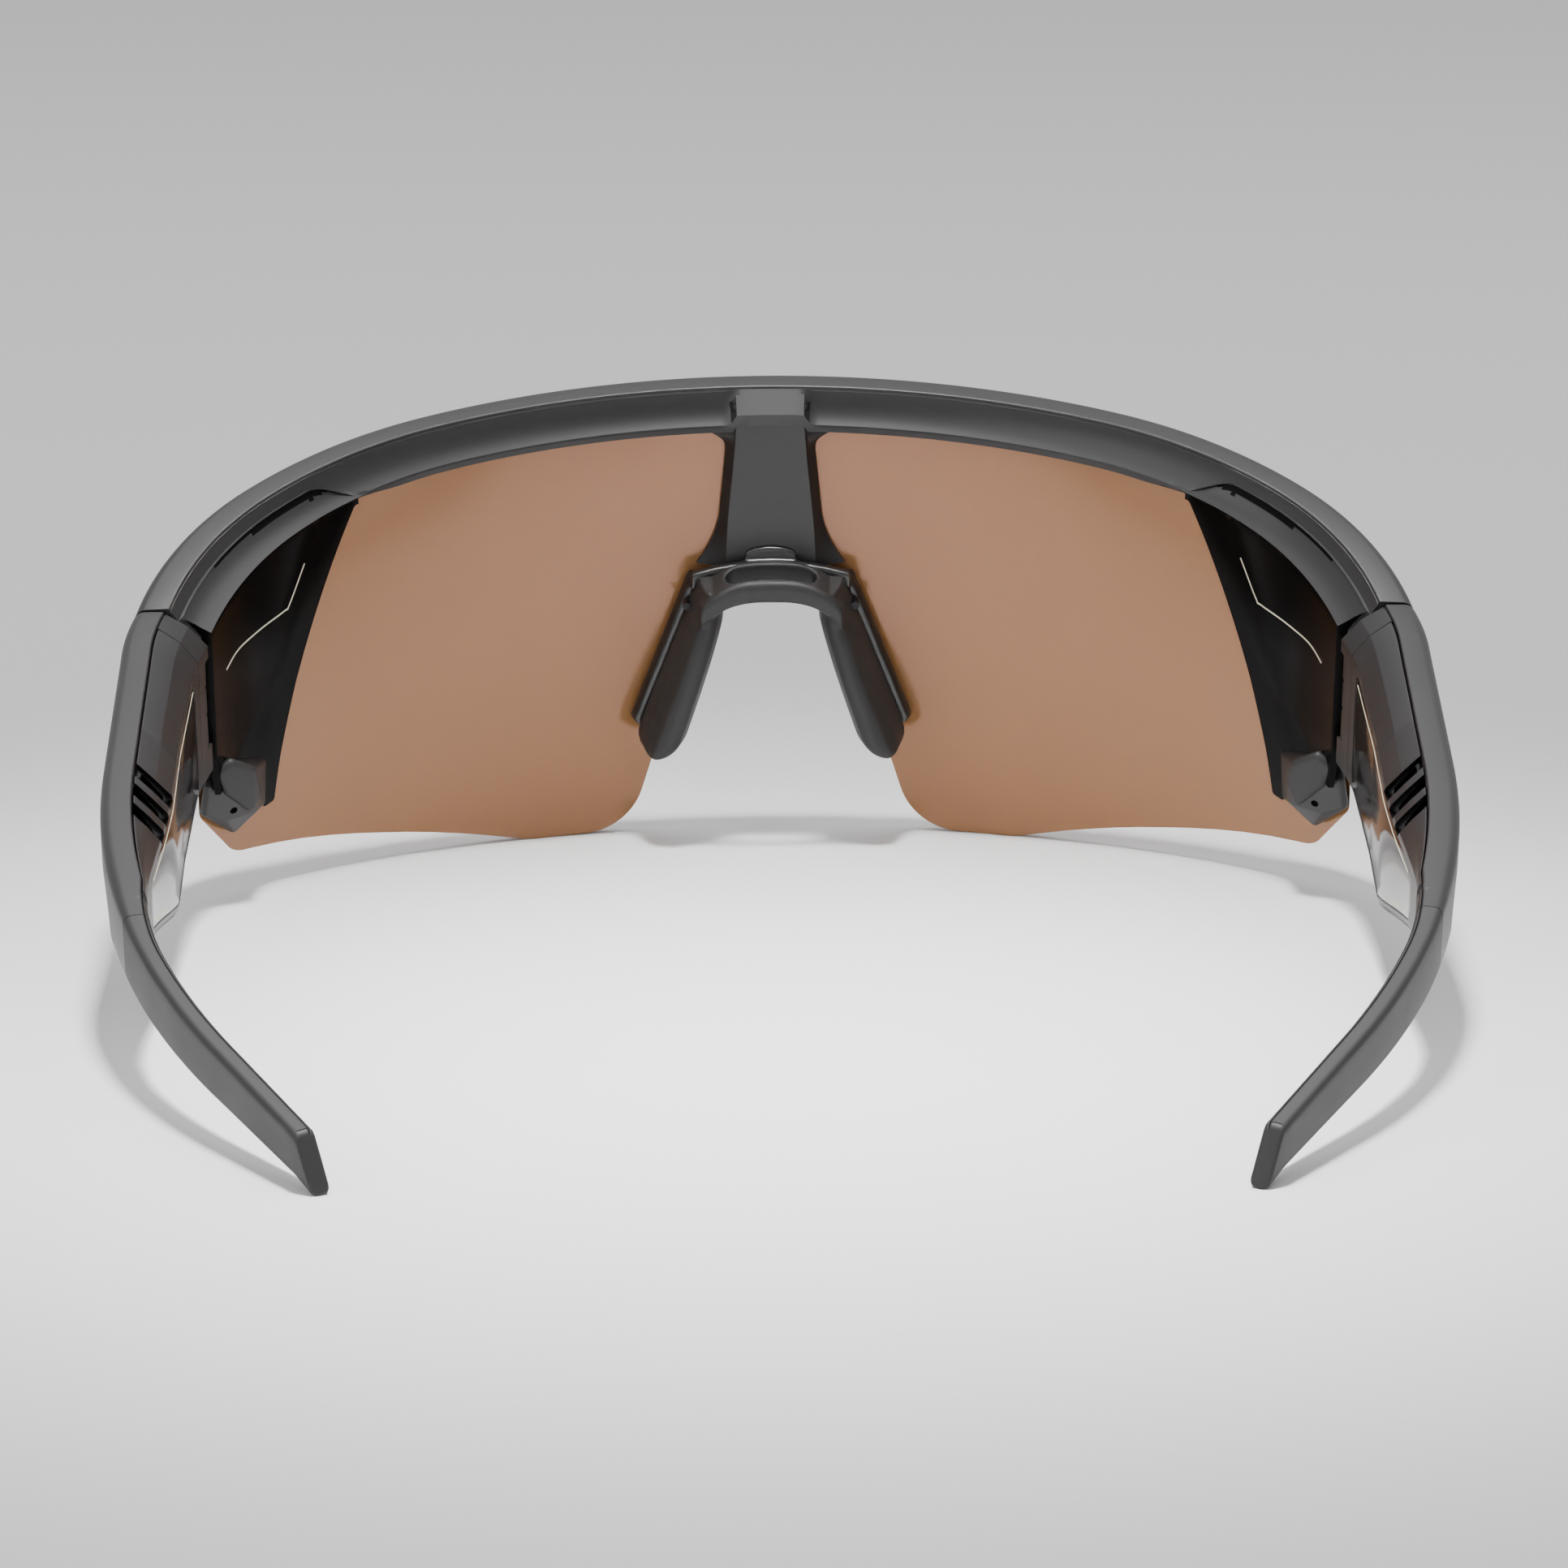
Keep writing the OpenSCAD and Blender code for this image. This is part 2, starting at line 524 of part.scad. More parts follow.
// ---- side panel: the inner skin between the brow's rear bevel, the lens and the hinge ----
panel_floor = 31.5;
panel_end = s_seam - 1.4;
panel_edge_s = 58;
function lens_edge_z(s) =
    let (run = max(0, s - panel_edge_s)) 0.1 - 1.22 * run - 0.0143 * run * run;
function panel_low(s) = max(lens_edge_z(s), -panel_floor + 6.5 * smooth((s - 81) / 5));
function panel_d(s, z) =
    let (on_lens = lens_depth(min(s, 76), z) + 0.75, far = clamp01((s - panel_s0) / (panel_end - panel_s0)),
         reach = smooth((lens_edge_z(s) < z ? (z - lens_edge_z(s)) / 16 : 0) + far * 0.25))
    max(mix(on_lens, low_ridge_d(s), pow(reach, 0.7)), on_lens);
function panel_back(s, z) = max(lens_depth(min(s, 76), z) + 0.15, panel_d(s, z) - 1.25);
panel_rows = 5;
function panel_section(s) =
    let (u = cover_end(s), top = bevel(s, u), low = panel_low(s), ridge = [low_ridge_d(s), low_ridge_z(s)],
         z0 = max(ridge[1] - 0.4, low + 0.4), rows = steps(z0, low, panel_rows))
    concat(
        [top + [0, -0.12], ridge],
        [for (z = rows) [panel_d(s, z), z]],
        [for (i = [panel_rows:-1:0]) [panel_back(s, rows[i]), rows[i]]],
        [[mix(top[0], panel_back(s, z0), 0.4) - 0.5, top[1] - 1.1]]
    );
module side_panel(side) {
    color(gloss) rest_pose() on_side(side) difference() {
        loft([for (s = steps(panel_s0 + 0.6, s_seam + 1, 18)) ring_at(s, panel_section(s))]);
        swing_room();
        block_form(0.05);
        bumper_form(0.05);
    }
}

// ---- corner block: microphone housing at the lens's lower corner ----
// A point at a normal distance behind the lens.
function near_lens(x, z, off) = [x, lens_y(x, z) - off * lens_r / sqrt(lens_r * lens_r - x * x), z];
module ball_at(p, r) {
    translate(p) sphere(r = r, $fn = 12);
}
block_floor = -lens_corner_z - 3.6;
block_round = 0.7;
mic_size = [2.4, 1.2, 1.8];
mic_spot = [hinge_x - 3.6, -45.2, -28.3];
module block_form(grow) {
    hull() {
        ball_at([hinge_x - 0.9, hinge_y + 2.8, -24.6], block_round + grow);
        ball_at([hinge_x - 1.4, -46.2, -22.6], block_round + grow);
        ball_at([hinge_x - 5.2, -45.6, -24.4], block_round + grow);
        ball_at([hinge_x - 5.6, -45.4, block_floor + 3], block_round + grow);
        ball_at([hinge_x - 2.6, -47.4, block_floor + 3], block_round + grow);
        ball_at(near_lens(hinge_x - 0.4, -27.6, 1.0), block_round + grow);
        ball_at(near_lens(hinge_x - 3.2, block_floor + 0.4, 0.9), block_round + grow);
        ball_at(near_lens(hinge_x - 6.2, block_floor + 1.6, 0.9), block_round + grow);
        ball_at(near_lens(hinge_x - 6.4, -26, 0.9), block_round + grow);
    }
}
module swing_room() {
    box([0, hinge_y - 20, -60], [100, hinge_y + swing_gap, 30]);
    box([0, hinge_y - 20, -60], [hinge_x, hinge_y + relief_r + 0.08, 30]);
    at_hinge(relief_r, -60, 30);
}
module corner_block(side) {
    color(nylon) rest_pose() on_side(side) difference() {
        block_form(0);
        translate(mic_spot) box(-mic_size / 2 - [0.05, 0.05, 0.05], mic_size / 2 + [0.05, 0.05, 0.05]);
        translate(mic_spot) rotate([90, 0, 0]) cylinder(r = 0.42, h = 8, $fn = 24);
        swing_room();
    }
}
pad_round = 0.8;
module bumper_form(grow) {
    hull() {
        ball_at([hinge_x - 2.0, -48.2, -23.0], pad_round + grow);
        ball_at([hinge_x - 3.4, -47.4, -22.2], pad_round + grow);
        ball_at([hinge_x - 5.6, -46.2, -23.8], pad_round + grow);
        ball_at([hinge_x - 6.0, -45.6, -26.6], pad_round + grow);
        ball_at([hinge_x - 5.4, -46.2, -28.2], pad_round + grow);
        ball_at([hinge_x - 3.0, -47.8, -25.2], pad_round + grow);
    }
}
// The soft pad that the folded arm rests against.
module corner_bumper(side) {
    color(rubber) rest_pose() on_side(side) difference() {
        bumper_form(0);
        block_form(0.03);
        swing_room();
    }
}
module corner_microphones() {
    color(steel) rest_pose() for (side = [1, -1]) on_side(side)
        translate(mic_spot) box(-mic_size / 2, mic_size / 2);
}

module front_hinge_leaf(side) {
    mid_low = knuckle_bottom + knuckle_third + knuckle_gap;
    mid_high = knuckle_top - knuckle_third - knuckle_gap;
    color(steel) rest_pose() on_side(side) difference() {
        union() {
            knuckle(mid_low, mid_high);
            box([hinge_x, hinge_y, mid_low], [leaf_x + leaf_t, hinge_y + 2.6, mid_high]);
            box([leaf_x, hinge_y + 1.9, leaf_bottom], [leaf_x + leaf_t, hinge_y + front_leaf_len, leaf_top]);
        }
        at_hinge(pin_r + pin_fit, mid_low - 1, mid_high + 1);
        for (y = front_screw_y) cross_screw(y, false);
    }
}
module front_leaf_screws() {
    color(steel) rest_pose() for (side = [1, -1]) on_side(side)
        for (y = front_screw_y) cross_screw(y, true);
}

// ================= ARMS =================
s_housing = s_end - 30;
function arm_top(s) = seam_top * (1 - smooth((s - s_seam) / 14));
function arm_thick(s) =
    let (front = arm_t - 0.8 * clamp01((s - s_seam) / 23))
    mix(front, blade_t, smooth((s - s_bend + 3) / (s_end - s_bend - 18)));
rise_from = s_bend - 4;
rise_to = s_housing - 10;
function arm_low(s) =
    s < rise_from ? -housing_h :
    s < rise_to ? mix(-housing_h, -9.6, (s - rise_from) / (rise_to - rise_from)) :
    mix(-9.6, -5.4, pow(clamp01((s - rise_to) / (s_tip - rise_to)), 0.6));
// Height of the lower edge of the arm's inner bevel; it fades out towards the blade.
function arm_bevel_z(s) = arm_top(s) - mix(4.5, 0.6, smooth((s - s_bend - 6) / (s_housing - s_bend)));
function groove_at(s) = min(groove_d, arm_thick(s) - 0.7);
function tuck(s) = 1.1 * smooth((-arm_low(s) - 7) / 12);
function arm_outline(s) =
    let (t = arm_top(s), b = arm_low(s), w = arm_thick(s), g = groove_at(s), bz = arm_bevel_z(s), k = tuck(s),
         fade = 1 - smooth((s - s_housing + 12) / 12))
    [
        [g + 0.32, t - 0.1 - 0.3 * fade],
        [mix(g + 0.3, w, 0.55), mix(t - 0.4, bz, 0.5) + 0.1],
        [w - 0.08, bz],
        [w, mix(bz, b, 0.2)], [w, b + 1.1], [w - 0.25, b + 0.4], [w - 0.8, b],
        [k + 1.3, b], [k + 0.5, b + 0.4], [k + 0.05, b + 1.4],
        [0, mix(t, b, 0.35)], [0, t - 1.5], [0.12, t - 0.8], [0.5, t - 0.25], [1.2 * min(1, w / 4), t],
        [g - 0.1, t]
    ];
s_cover = s_seam + 3.2;
s_cover_end = s_housing - 6;
shell_inner_d = wall + 0.1;
step_len = 0.02;
// Section of the outer shell: solid at its ends, and a C open towards the head where it is hollow.
function shell_section(s, hollow) =
    let (o = arm_outline(s), t = arm_top(s), b = arm_low(s), w = arm_thick(s), g = groove_at(s),
         k = tuck(s) * 0.8, floor_z = b + wall, roof_z = t - wall - 0.4)
    concat(
        hollow ? [
            [g + 0.05, t - 0.4], [g + 0.05, roof_z], [shell_inner_d + 0.5, roof_z - 0.1],
            [shell_inner_d, roof_z - 0.6], [shell_inner_d, mix(t, b, 0.5)],
            [shell_inner_d + k, floor_z + 0.5], [shell_inner_d + k + 0.4, floor_z],
            [w - 0.7, floor_z], [w - 0.4, b + 0.5]
        ] : [
            o[0], mix(o[0], o[1], 0.5), o[1], mix(o[1], o[2], 0.5), o[2], o[3], mix(o[3], o[4], 0.5),
            mix(o[3], o[4], 0.8), o[4]
        ],
        [for (i = [5:len(o) - 1]) o[i]]);
function arm_cover_section(s) =
    let (o = arm_outline(s), t = arm_top(s), b = arm_low(s), w = arm_thick(s), g = groove_at(s),
         bz = arm_bevel_z(s))
    [
        o[0] + [-0.1, 0], o[1], o[2], o[3], o[4], [w - 0.15, b + 0.64],
        [w - 0.9, b + wall + 0.2], [w - wall, b + wall + 0.9], [w - wall, bz - 0.5],
        [mix(g + 0.3, w, 0.45) - 0.4, mix(t - 0.4, bz, 0.5) - 0.9], [g + 0.22, t - 1.5]
    ];
pocket_low = knuckle_bottom - 0.15;
pocket_high = knuckle_top + 0.15;
module hinge_pocket() {
    at_hinge(relief_r + 0.05, pocket_low, pocket_high);
    box([hinge_x - 6, hinge_y - relief_r, pocket_low], [hinge_x, hinge_y + 5, pocket_high]);
    box([hinge_x, hinge_y - knuckle_web - 0.08, pocket_low], [leaf_x + leaf_t + 0.1, hinge_y + 5, pocket_high]);
    box([leaf_x - screw_head_t - 0.07, hinge_y - rear_leaf_len - 2.5, leaf_bottom - 0.1],
        [leaf_x + leaf_t + 0.05, hinge_y + 5, leaf_top + 0.1]);
}
button_s = [s_side + 11, s_side + 19.5];
button_d = 4.3;
button_len = [7, 4.6];
button_w = 2.4;
hole_gap = 0.15;
module underside_hole(s, len, w) {
    p = at(s, button_d, 0);
    translate([p[0], p[1], -housing_h - 3]) linear_extrude(6)
        square([w + 2 * hole_gap, len + 2 * hole_gap], center = true);
}
module arm_shell(side) {
    color(nylon) rest_pose() on_side(side) difference() {
        union() {
            difference() {
                loft(concat(
                    [for (s = steps(s_seam - 4, s_cover, 3)) ring_at(s, shell_section(s, false))],
                    [for (s = steps(s_cover + step_len, s_bend, 6)) ring_at(s, shell_section(s, true))],
                    [for (s = steps(s_bend + 3.5, s_housing - 4, 9)) ring_at(s, shell_section(s, true))],
                    [for (s = steps(s_housing - 4 + step_len, s_housing, 2))
                        ring_at(s, shell_section(s, false))]));
                box([0, hinge_y, -60], [100, hinge_y + 20, 30]);
            }
            at_hinge(knuckle_r - 0.1, -housing_h + 0.4, seam_top - 4.3);
            screw_boss();
        }
        hinge_pocket();
        for (y = rear_screw_y) cross_screw(y, false);
        core_slot(0.05);
        if (side > 0) for (i = [0, 1]) underside_hole(button_s[i], button_len[i], button_w);
        else underside_hole(button_s[0], slider_len + slider_travel, button_w);
    }
}
module screw_boss() {
    box([leaf_x + leaf_t + 0.05, rear_screw_y[1] - 2, screw_z - 3.2],
        [frame_w / 2 - wall, rear_screw_y[0] + 2, screw_z + 3.2]);
}
slot_s = s_bend + 0.5;
slot_pitch = 4.4;
slot_w = 1.5;
slot_lean = 58;
slot_len = 5.2;
// Speaker slots: slanted bars cut through the bevelled band.
module speaker_slots() {
    for (i = [0:slot_count - 1]) {
        s = slot_s + i * slot_pitch;
        p = at(s, mix(groove_at(s) + 0.3, arm_thick(s), 0.52), arm_top(s) - 2.4);
        translate(p) rotate([0, 0, 90 - heading(s)]) rotate([0, 42, 0]) rotate([0, 0, slot_lean])
            box([-slot_len / 2, -slot_w / 2, -4], [slot_len / 2, slot_w / 2, 4]);
    }
}
module arm_cover(side) {
    color(nylon) rest_pose() on_side(side) difference() {
        loft([for (s = concat(steps(s_cover + 0.1, s_bend, 6), steps(s_bend + 3, s_cover_end, 9)))
            ring_at(s, arm_cover_section(s))]);
        hinge_pocket();
        speaker_slots();
        panel_recess(0.06);
    }
}
// The glossy trim let into the arm's inner face.
trim_t = 0.45;
trim_s0 = s_cover + 3;
trim_s1 = s_housing - 14;
module trim_solid(t, out, grow) {
    loft([for (s = steps(trim_s0 - grow, trim_s1 + grow, 12))
        let (w = arm_thick(s), hi = arm_bevel_z(s) - 1.0 + grow, lo = arm_low(s) + 1.4 - grow)
        ring_at(s, [[w - t, hi], [w + out, hi], [w + out, lo], [w - t, lo]])]);
}
module panel_recess(grow) {
    trim_solid(trim_t + grow, 1, grow);
}
module gloss_panel(side) {
    color(gloss) rest_pose() on_side(side) trim_solid(trim_t, 0, 0);
}

// ---- rear arm: a rubber sock over a steel core ----
tip_rake = 3.6;
module ear_sock(side) {
    stations = concat(steps(s_housing + 0.1, s_tip - 2, 14), [s_tip - 0.4]);
    color(rubber) rest_pose() on_side(side) difference() {
        loft(concat(
            [for (s = stations) ring_at(s, arm_outline(s))],
            [raked_ring(s_tip, 1, 0.12), raked_ring(s_tip + 0.5, 1, 0.5)]));
        core_slot(0.03);
    }
}
// The tip ends in a face that leans back towards its foot.
function raked_ring(s, lean, inset) =
    let (o = arm_outline(s_tip - 0.4), t = arm_top(s_tip), b = arm_low(s_tip - 0.4), mid_z = (t + b) / 2,
         mid_d = blade_t / 2)
    [for (q = o)
        let (z = mid_z + (q[1] - mid_z) * (1 - inset * 0.3) - 0.5 * smooth((t - q[1]) / (t - b)),
             d = mid_d + (q[0] - mid_d) * (1 - inset * 0.7))
        at(s + lean * tip_rake * (t - z) / (t - b) - 0.4, d, z)];
core_t = 0.9;
core_top = -1.6;
function core_low(s) = core_top - mix(2.6, 2.2, clamp01((s - s_housing) / (s_tip - s_housing)));
core_s0 = s_housing - 3.6;
core_s1 = s_tip - 5;
module core_bar(grow) {
    loft([for (s = steps(core_s0 - grow, core_s1 + grow, 12))
        let (m = arm_thick(s) / 2, d0 = m - core_t / 2 - grow, d1 = m + core_t / 2 + grow)
        ring_at(s, [[d0, core_top + grow], [d1, core_top + grow], [d1, core_low(s) - grow], [d0, core_low(s) - grow]])]);
}
module core_slot(grow) {
    core_bar(grow);
}
module arm_core(side) {
    color(steel) rest_pose() on_side(side) core_bar(0);
}

module rear_hinge_leaf(side) {
    low = [knuckle_bottom, knuckle_bottom + knuckle_third - knuckle_gap];
    high = [knuckle_top - knuckle_third + knuckle_gap, knuckle_top];
    color(steel) rest_pose() on_side(side) difference() {
        union() {
            for (span = [low, high]) {
                knuckle(span[0], span[1]);
                box([hinge_x, hinge_y - knuckle_web, span[0]], [leaf_x + leaf_t, hinge_y, span[1]]);
            }
            box([leaf_x, hinge_y - rear_leaf_len - 2, leaf_bottom],
                [leaf_x + leaf_t, hinge_y - rear_leaf_gap, leaf_top]);
        }
        at_hinge(pin_r, knuckle_bottom - 1, knuckle_top + 1);
        for (y = rear_screw_y) cross_screw(y, false);
    }
}
module hinge_pin(side) {
    color(steel) rest_pose() on_side(side) at_hinge(pin_r, knuckle_bottom, knuckle_top);
}
module rear_leaf_screws(side) {
    color(steel) rest_pose() on_side(side) for (y = rear_screw_y) cross_screw(y, true);
}

// ---- inside the arm housing ----
module side_box(s0, s1, d0, d1, z0, z1) {
    box([frame_w / 2 - d1, corner_c[1] - (s1 - s_side), z0], [frame_w / 2 - d0, corner_c[1] - (s0 - s_side), z1]);
}
battery_s = [s_side + 4.5, s_side + 25];
module battery(side) {
    color(cell_grey) rest_pose() on_side(side)
        side_box(battery_s[0], battery_s[1], 1.95, 4.8, -16.6, -4.4);
}
module circuit_board(side) {
    color(board_green) rest_pose() on_side(side)
        side_box(battery_s[0], battery_s[1], 5.1, 5.8, -17.2, -5.2);
}
module touch_sensor() {
    color([0.75, 0.5, 0.2]) rest_pose() side_box(battery_s[0], battery_s[1], 1.25, 1.45, -10.2, -2.8);
}
speaker_s = s_bend + 7.6;
speaker_half = 5.2;
module speaker(side) {
    color([0.2, 0.2, 0.22]) rest_pose() on_side(side) {
        p = at(speaker_s, 0, 0);
        translate([p[0], p[1], 0]) rotate([0, 0, -(heading(speaker_s) - 90) * 1.0])
            box([-4.4, -speaker_half, -12.4], [-1.8, speaker_half, -5]);
    }
}
module speaker_mesh(side) {
    color([0.1, 0.1, 0.1]) rest_pose() on_side(side)
        loft([for (s = steps(slot_s - 3, slot_s + (slot_count - 1) * slot_pitch + 3, 6))
            let (w = arm_thick(s), g = groove_at(s), t = arm_top(s), bz = arm_bevel_z(s),
                 m = [mix(g + 0.3, w, 0.45) - 0.4, mix(t - 0.4, bz, 0.5) - 0.9],
                 a = mix(m, [g + 0.22, t - 1.5], 0.55), e = mix(m, [w - wall, bz - 0.5], 0.8))
            ring_at(s, [a + [-0.1, -0.15], m + [-0.1, -0.12], e + [-0.12, -0.05],
                e + [-0.4, -0.3], m + [-0.38, -0.4], a + [-0.3, -0.42]])]);
}

// ---- controls under the arms ----
button_proud = 0.5;
flange_out = 0.5;
slider_len = 4;
module push_button(i) {
    p = at(button_s[i], button_d, 0);
    color(gloss) rest_pose() translate([p[0], p[1], -housing_h - button_proud]) {
        linear_extrude(button_proud + wall + 0.5)
            polygon(rounded([for (q = [[-1, -1], [1, -1], [1, 1], [-1, 1]])
                [q[0] * button_w / 2, q[1] * button_len[i] / 2, 0.6]]));
        translate([-button_w / 2 - flange_out / 2, -button_len[i] / 2 - flange_out, button_proud + wall + 0.15])
            cube([button_w + flange_out, button_len[i] + 2 * flange_out, 0.5]);
    }
}
module power_slider() {
    p = at(button_s[0], button_d, 0);
    color(gloss) rest_pose() mirror([1, 0, 0])
        translate([p[0], p[1] + slider_travel / 2, -housing_h - button_proud]) {
            linear_extrude(button_proud + wall + 0.5)
                square([button_w, slider_len], center = true);
            translate([-button_w / 2 - flange_out / 2, -slider_len / 2 - flange_out, button_proud + wall + 0.15])
                cube([button_w + flange_out, slider_len + 2 * flange_out, 0.5]);
        }
}

brow_frame();
brow_inner_cover();
lens();
bridge_cover();
camera_housing();
camera_barrel();
camera_window();
status_light_ring();
camera_board();
nose_bracket();
nose_pad();
nose_pad_studs();
brow_flex_cable();
side_panel(-1);  // side_panel_left
side_panel(1);  // side_panel_right
corner_block(-1);  // corner_block_left
corner_block(1);  // corner_block_right
corner_bumper(-1);  // corner_bumper_left
corner_bumper(1);  // corner_bumper_right
corner_microphones();
front_hinge_leaf(-1);  // front_hinge_leaf_left
front_hinge_leaf(1);  // front_hinge_leaf_right
front_leaf_screws();
arm_shell(-1);  // arm_shell_left
arm_cover(-1);  // arm_cover_left
gloss_panel(-1);  // gloss_panel_left
ear_sock(-1);  // ear_sock_left
arm_core(-1);  // arm_core_left
rear_hinge_leaf(-1);  // rear_hinge_leaf_left
hinge_pin(-1);  // hinge_pin_left
rear_leaf_screws(-1);  // rear_leaf_screws_left
speaker(-1);  // speaker_left
speaker_mesh(-1);  // speaker_mesh_left
battery(-1);  // battery_left
circuit_board(-1);  // circuit_board_left
arm_shell(1);  // arm_shell_right
arm_cover(1);  // arm_cover_right
gloss_panel(1);  // gloss_panel_right
ear_sock(1);  // ear_sock_right
arm_core(1);  // arm_core_right
rear_hinge_leaf(1);  // rear_hinge_leaf_right
hinge_pin(1);  // hinge_pin_right
rear_leaf_screws(1);  // rear_leaf_screws_right
speaker(1);  // speaker_right
speaker_mesh(1);  // speaker_mesh_right
battery(1);  // battery_right
circuit_board(1);  // circuit_board_right
touch_sensor();  // touch_sensor_right
push_button(0);  // capture_button
push_button(1);  // action_button
power_slider();
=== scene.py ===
# %% [markdown]
# # Wraparound shield glasses
# The frame below is the measured design: bodies, joints and plain solids. This script dresses it.
# Each moulded piece is built again as a fine mesh from the same formulas that shaped the solid, so
# it lies close to the solid, and each finish is a procedural material. The nose pad is the one
# exception, with its saddle about 2 mm higher than the solid's. All the shapes are thought out in
# millimetres in the wearer's frame, where the arms are level, and are then tipped onto the table by
# `place`.

# %% Load the frame
import json
import math

import bmesh
import bpy
import numpy as np
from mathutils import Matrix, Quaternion, Vector
from mathutils.bvhtree import BVHTree


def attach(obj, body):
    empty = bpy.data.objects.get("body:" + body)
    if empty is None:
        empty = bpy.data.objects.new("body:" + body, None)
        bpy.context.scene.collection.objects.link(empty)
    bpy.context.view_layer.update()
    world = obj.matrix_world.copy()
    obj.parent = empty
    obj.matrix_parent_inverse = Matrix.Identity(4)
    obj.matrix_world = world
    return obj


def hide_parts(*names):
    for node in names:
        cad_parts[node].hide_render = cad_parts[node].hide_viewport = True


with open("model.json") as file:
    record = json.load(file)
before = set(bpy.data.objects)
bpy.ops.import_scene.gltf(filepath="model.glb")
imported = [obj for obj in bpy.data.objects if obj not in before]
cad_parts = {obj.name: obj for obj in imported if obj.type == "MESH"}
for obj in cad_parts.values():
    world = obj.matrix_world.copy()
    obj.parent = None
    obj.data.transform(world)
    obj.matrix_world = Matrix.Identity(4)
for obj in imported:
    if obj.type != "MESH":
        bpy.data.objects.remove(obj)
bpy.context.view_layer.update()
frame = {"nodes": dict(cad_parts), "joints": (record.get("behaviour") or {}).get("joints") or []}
joints = {joint["name"]: joint for joint in frame["joints"]}
MM = 0.001

# %% [markdown]
# ## From the wearer's frame to the table
# The glasses stand on the two lobes of the lens and the two arm tips, so they lean back a little.
# That lean is the direction of the hinge pins, and the hinge's position gives the shift, so both
# are read from the joint instead of being written down a second time.

# %% Rest pose, read from the left hinge
HINGE_Y = -51.4
HINGE_MID_Z = -11.5
fold = joints["left_arm_fold"]
REST_TILT = math.atan2(-fold["axis"][1], fold["axis"][2])
COS_T, SIN_T = math.cos(REST_TILT), math.sin(REST_TILT)
REST_Y = fold["pos_m"][1] / MM - (HINGE_Y * COS_T - HINGE_MID_Z * SIN_T)
REST_Z = fold["pos_m"][2] / MM - (HINGE_Y * SIN_T + HINGE_MID_Z * COS_T)
HINGE_X = abs(fold["pos_m"][0]) / MM


def place(points):
    """Points in the wearer's frame, in mm, to points on the table, in metres."""
    p = np.asarray(points, float)
    y = REST_Y + p[..., 1] * COS_T - p[..., 2] * SIN_T
    z = REST_Z + p[..., 1] * SIN_T + p[..., 2] * COS_T
    return np.stack([p[..., 0], y, z], axis=-1) * MM


print(f"tilt {math.degrees(REST_TILT):.2f} deg, origin at y {REST_Y:.2f} z {REST_Z:.2f}")

# %% [markdown]
# ## The plan path
# Seen from above, the brow and the arms follow one line: a large arc, a tighter corner, a short
# straight, a wide bend and a straight end. `at` gives the point a distance s along that line, a
# depth d behind the outer face, at height z. A cross-section is then only a list of (d, z) points.

# %% Plan path and small helpers
HALF_W = 75.6
BROW_R = 85.0
CORNER_ANGLE = math.radians(48)
BROW_RISE = 6.5
TOP_BAND = 4.1
FRONT_WALL = 1.9
FRONT_LIP = 3.4
ARM_STRAIGHT = 28.0
ARM_BEND_R = 130.0
ARM_BEND = math.radians(28.5)
ARM_END = 19.5
ARM_T = 8.3
BLADE_T = 2.5
HOUSING_H = 21.3
SEAM_TOP = 0.2

CORNER_R = (HALF_W - BROW_R * math.sin(CORNER_ANGLE)) / (1 - math.sin(CORNER_ANGLE))
CORNER_C = np.array([(BROW_R - CORNER_R) * math.sin(CORNER_ANGLE),
                     (BROW_R - CORNER_R) * math.cos(CORNER_ANGLE) - BROW_R])
S_CORNER = BROW_R * CORNER_ANGLE
S_SIDE = S_CORNER + CORNER_R * (math.pi / 2 - CORNER_ANGLE)
S_BEND = S_SIDE + ARM_STRAIGHT
S_END = S_BEND + ARM_BEND_R * ARM_BEND
S_TIP = S_END + ARM_END
S_SEAM = S_CORNER + CORNER_R * (math.acos((HINGE_Y - CORNER_C[1]) / CORNER_R) - CORNER_ANGLE)
S_HOUSING = S_END - 30


def mix(a, b, t):
    return a + (b - a) * t


def clamp01(t):
    return min(1.0, max(0.0, t))


def smooth(t):
    c = clamp01(t)
    return c * c * (3 - 2 * c)


def steps(a, b, count):
    return [mix(a, b, i / count) for i in range(count + 1)]


def heading(s):
    if s <= S_CORNER:
        return s / BROW_R
    if s <= S_SIDE:
        return CORNER_ANGLE + (s - S_CORNER) / CORNER_R
    if s <= S_BEND:
        return math.pi / 2
    if s <= S_END:
        return math.pi / 2 + (s - S_BEND) / ARM_BEND_R
    return math.pi / 2 + ARM_BEND


def on_path(s):
    h = heading(s)
    if s <= S_CORNER:
        return np.array([BROW_R * math.sin(h), BROW_R * math.cos(h) - BROW_R])
    if s <= S_SIDE:
        return CORNER_C + CORNER_R * np.array([math.sin(h), math.cos(h)])
    if s <= S_BEND:
        return np.array([HALF_W, CORNER_C[1] - (s - S_SIDE)])
    bend = np.array([HALF_W - ARM_BEND_R * (1 - math.sin(h)),
                     CORNER_C[1] - ARM_STRAIGHT + ARM_BEND_R * math.cos(h)])
    return bend + max(0.0, s - S_END) * np.array([math.cos(h), -math.sin(h)])


def at(s, d, z):
    a = abs(s)
    p, h = on_path(a), heading(a)
    x = p[0] - d * math.sin(h)
    return (-x if s < 0 else x, p[1] - d * math.cos(h), z)


def ring_at(s, section):
    return [at(s, d, z) for d, z in section]


print(f"path: corner at {S_CORNER:.1f}, seam {S_SEAM:.1f}, bend {S_BEND:.1f}, tip {S_TIP:.1f} mm")

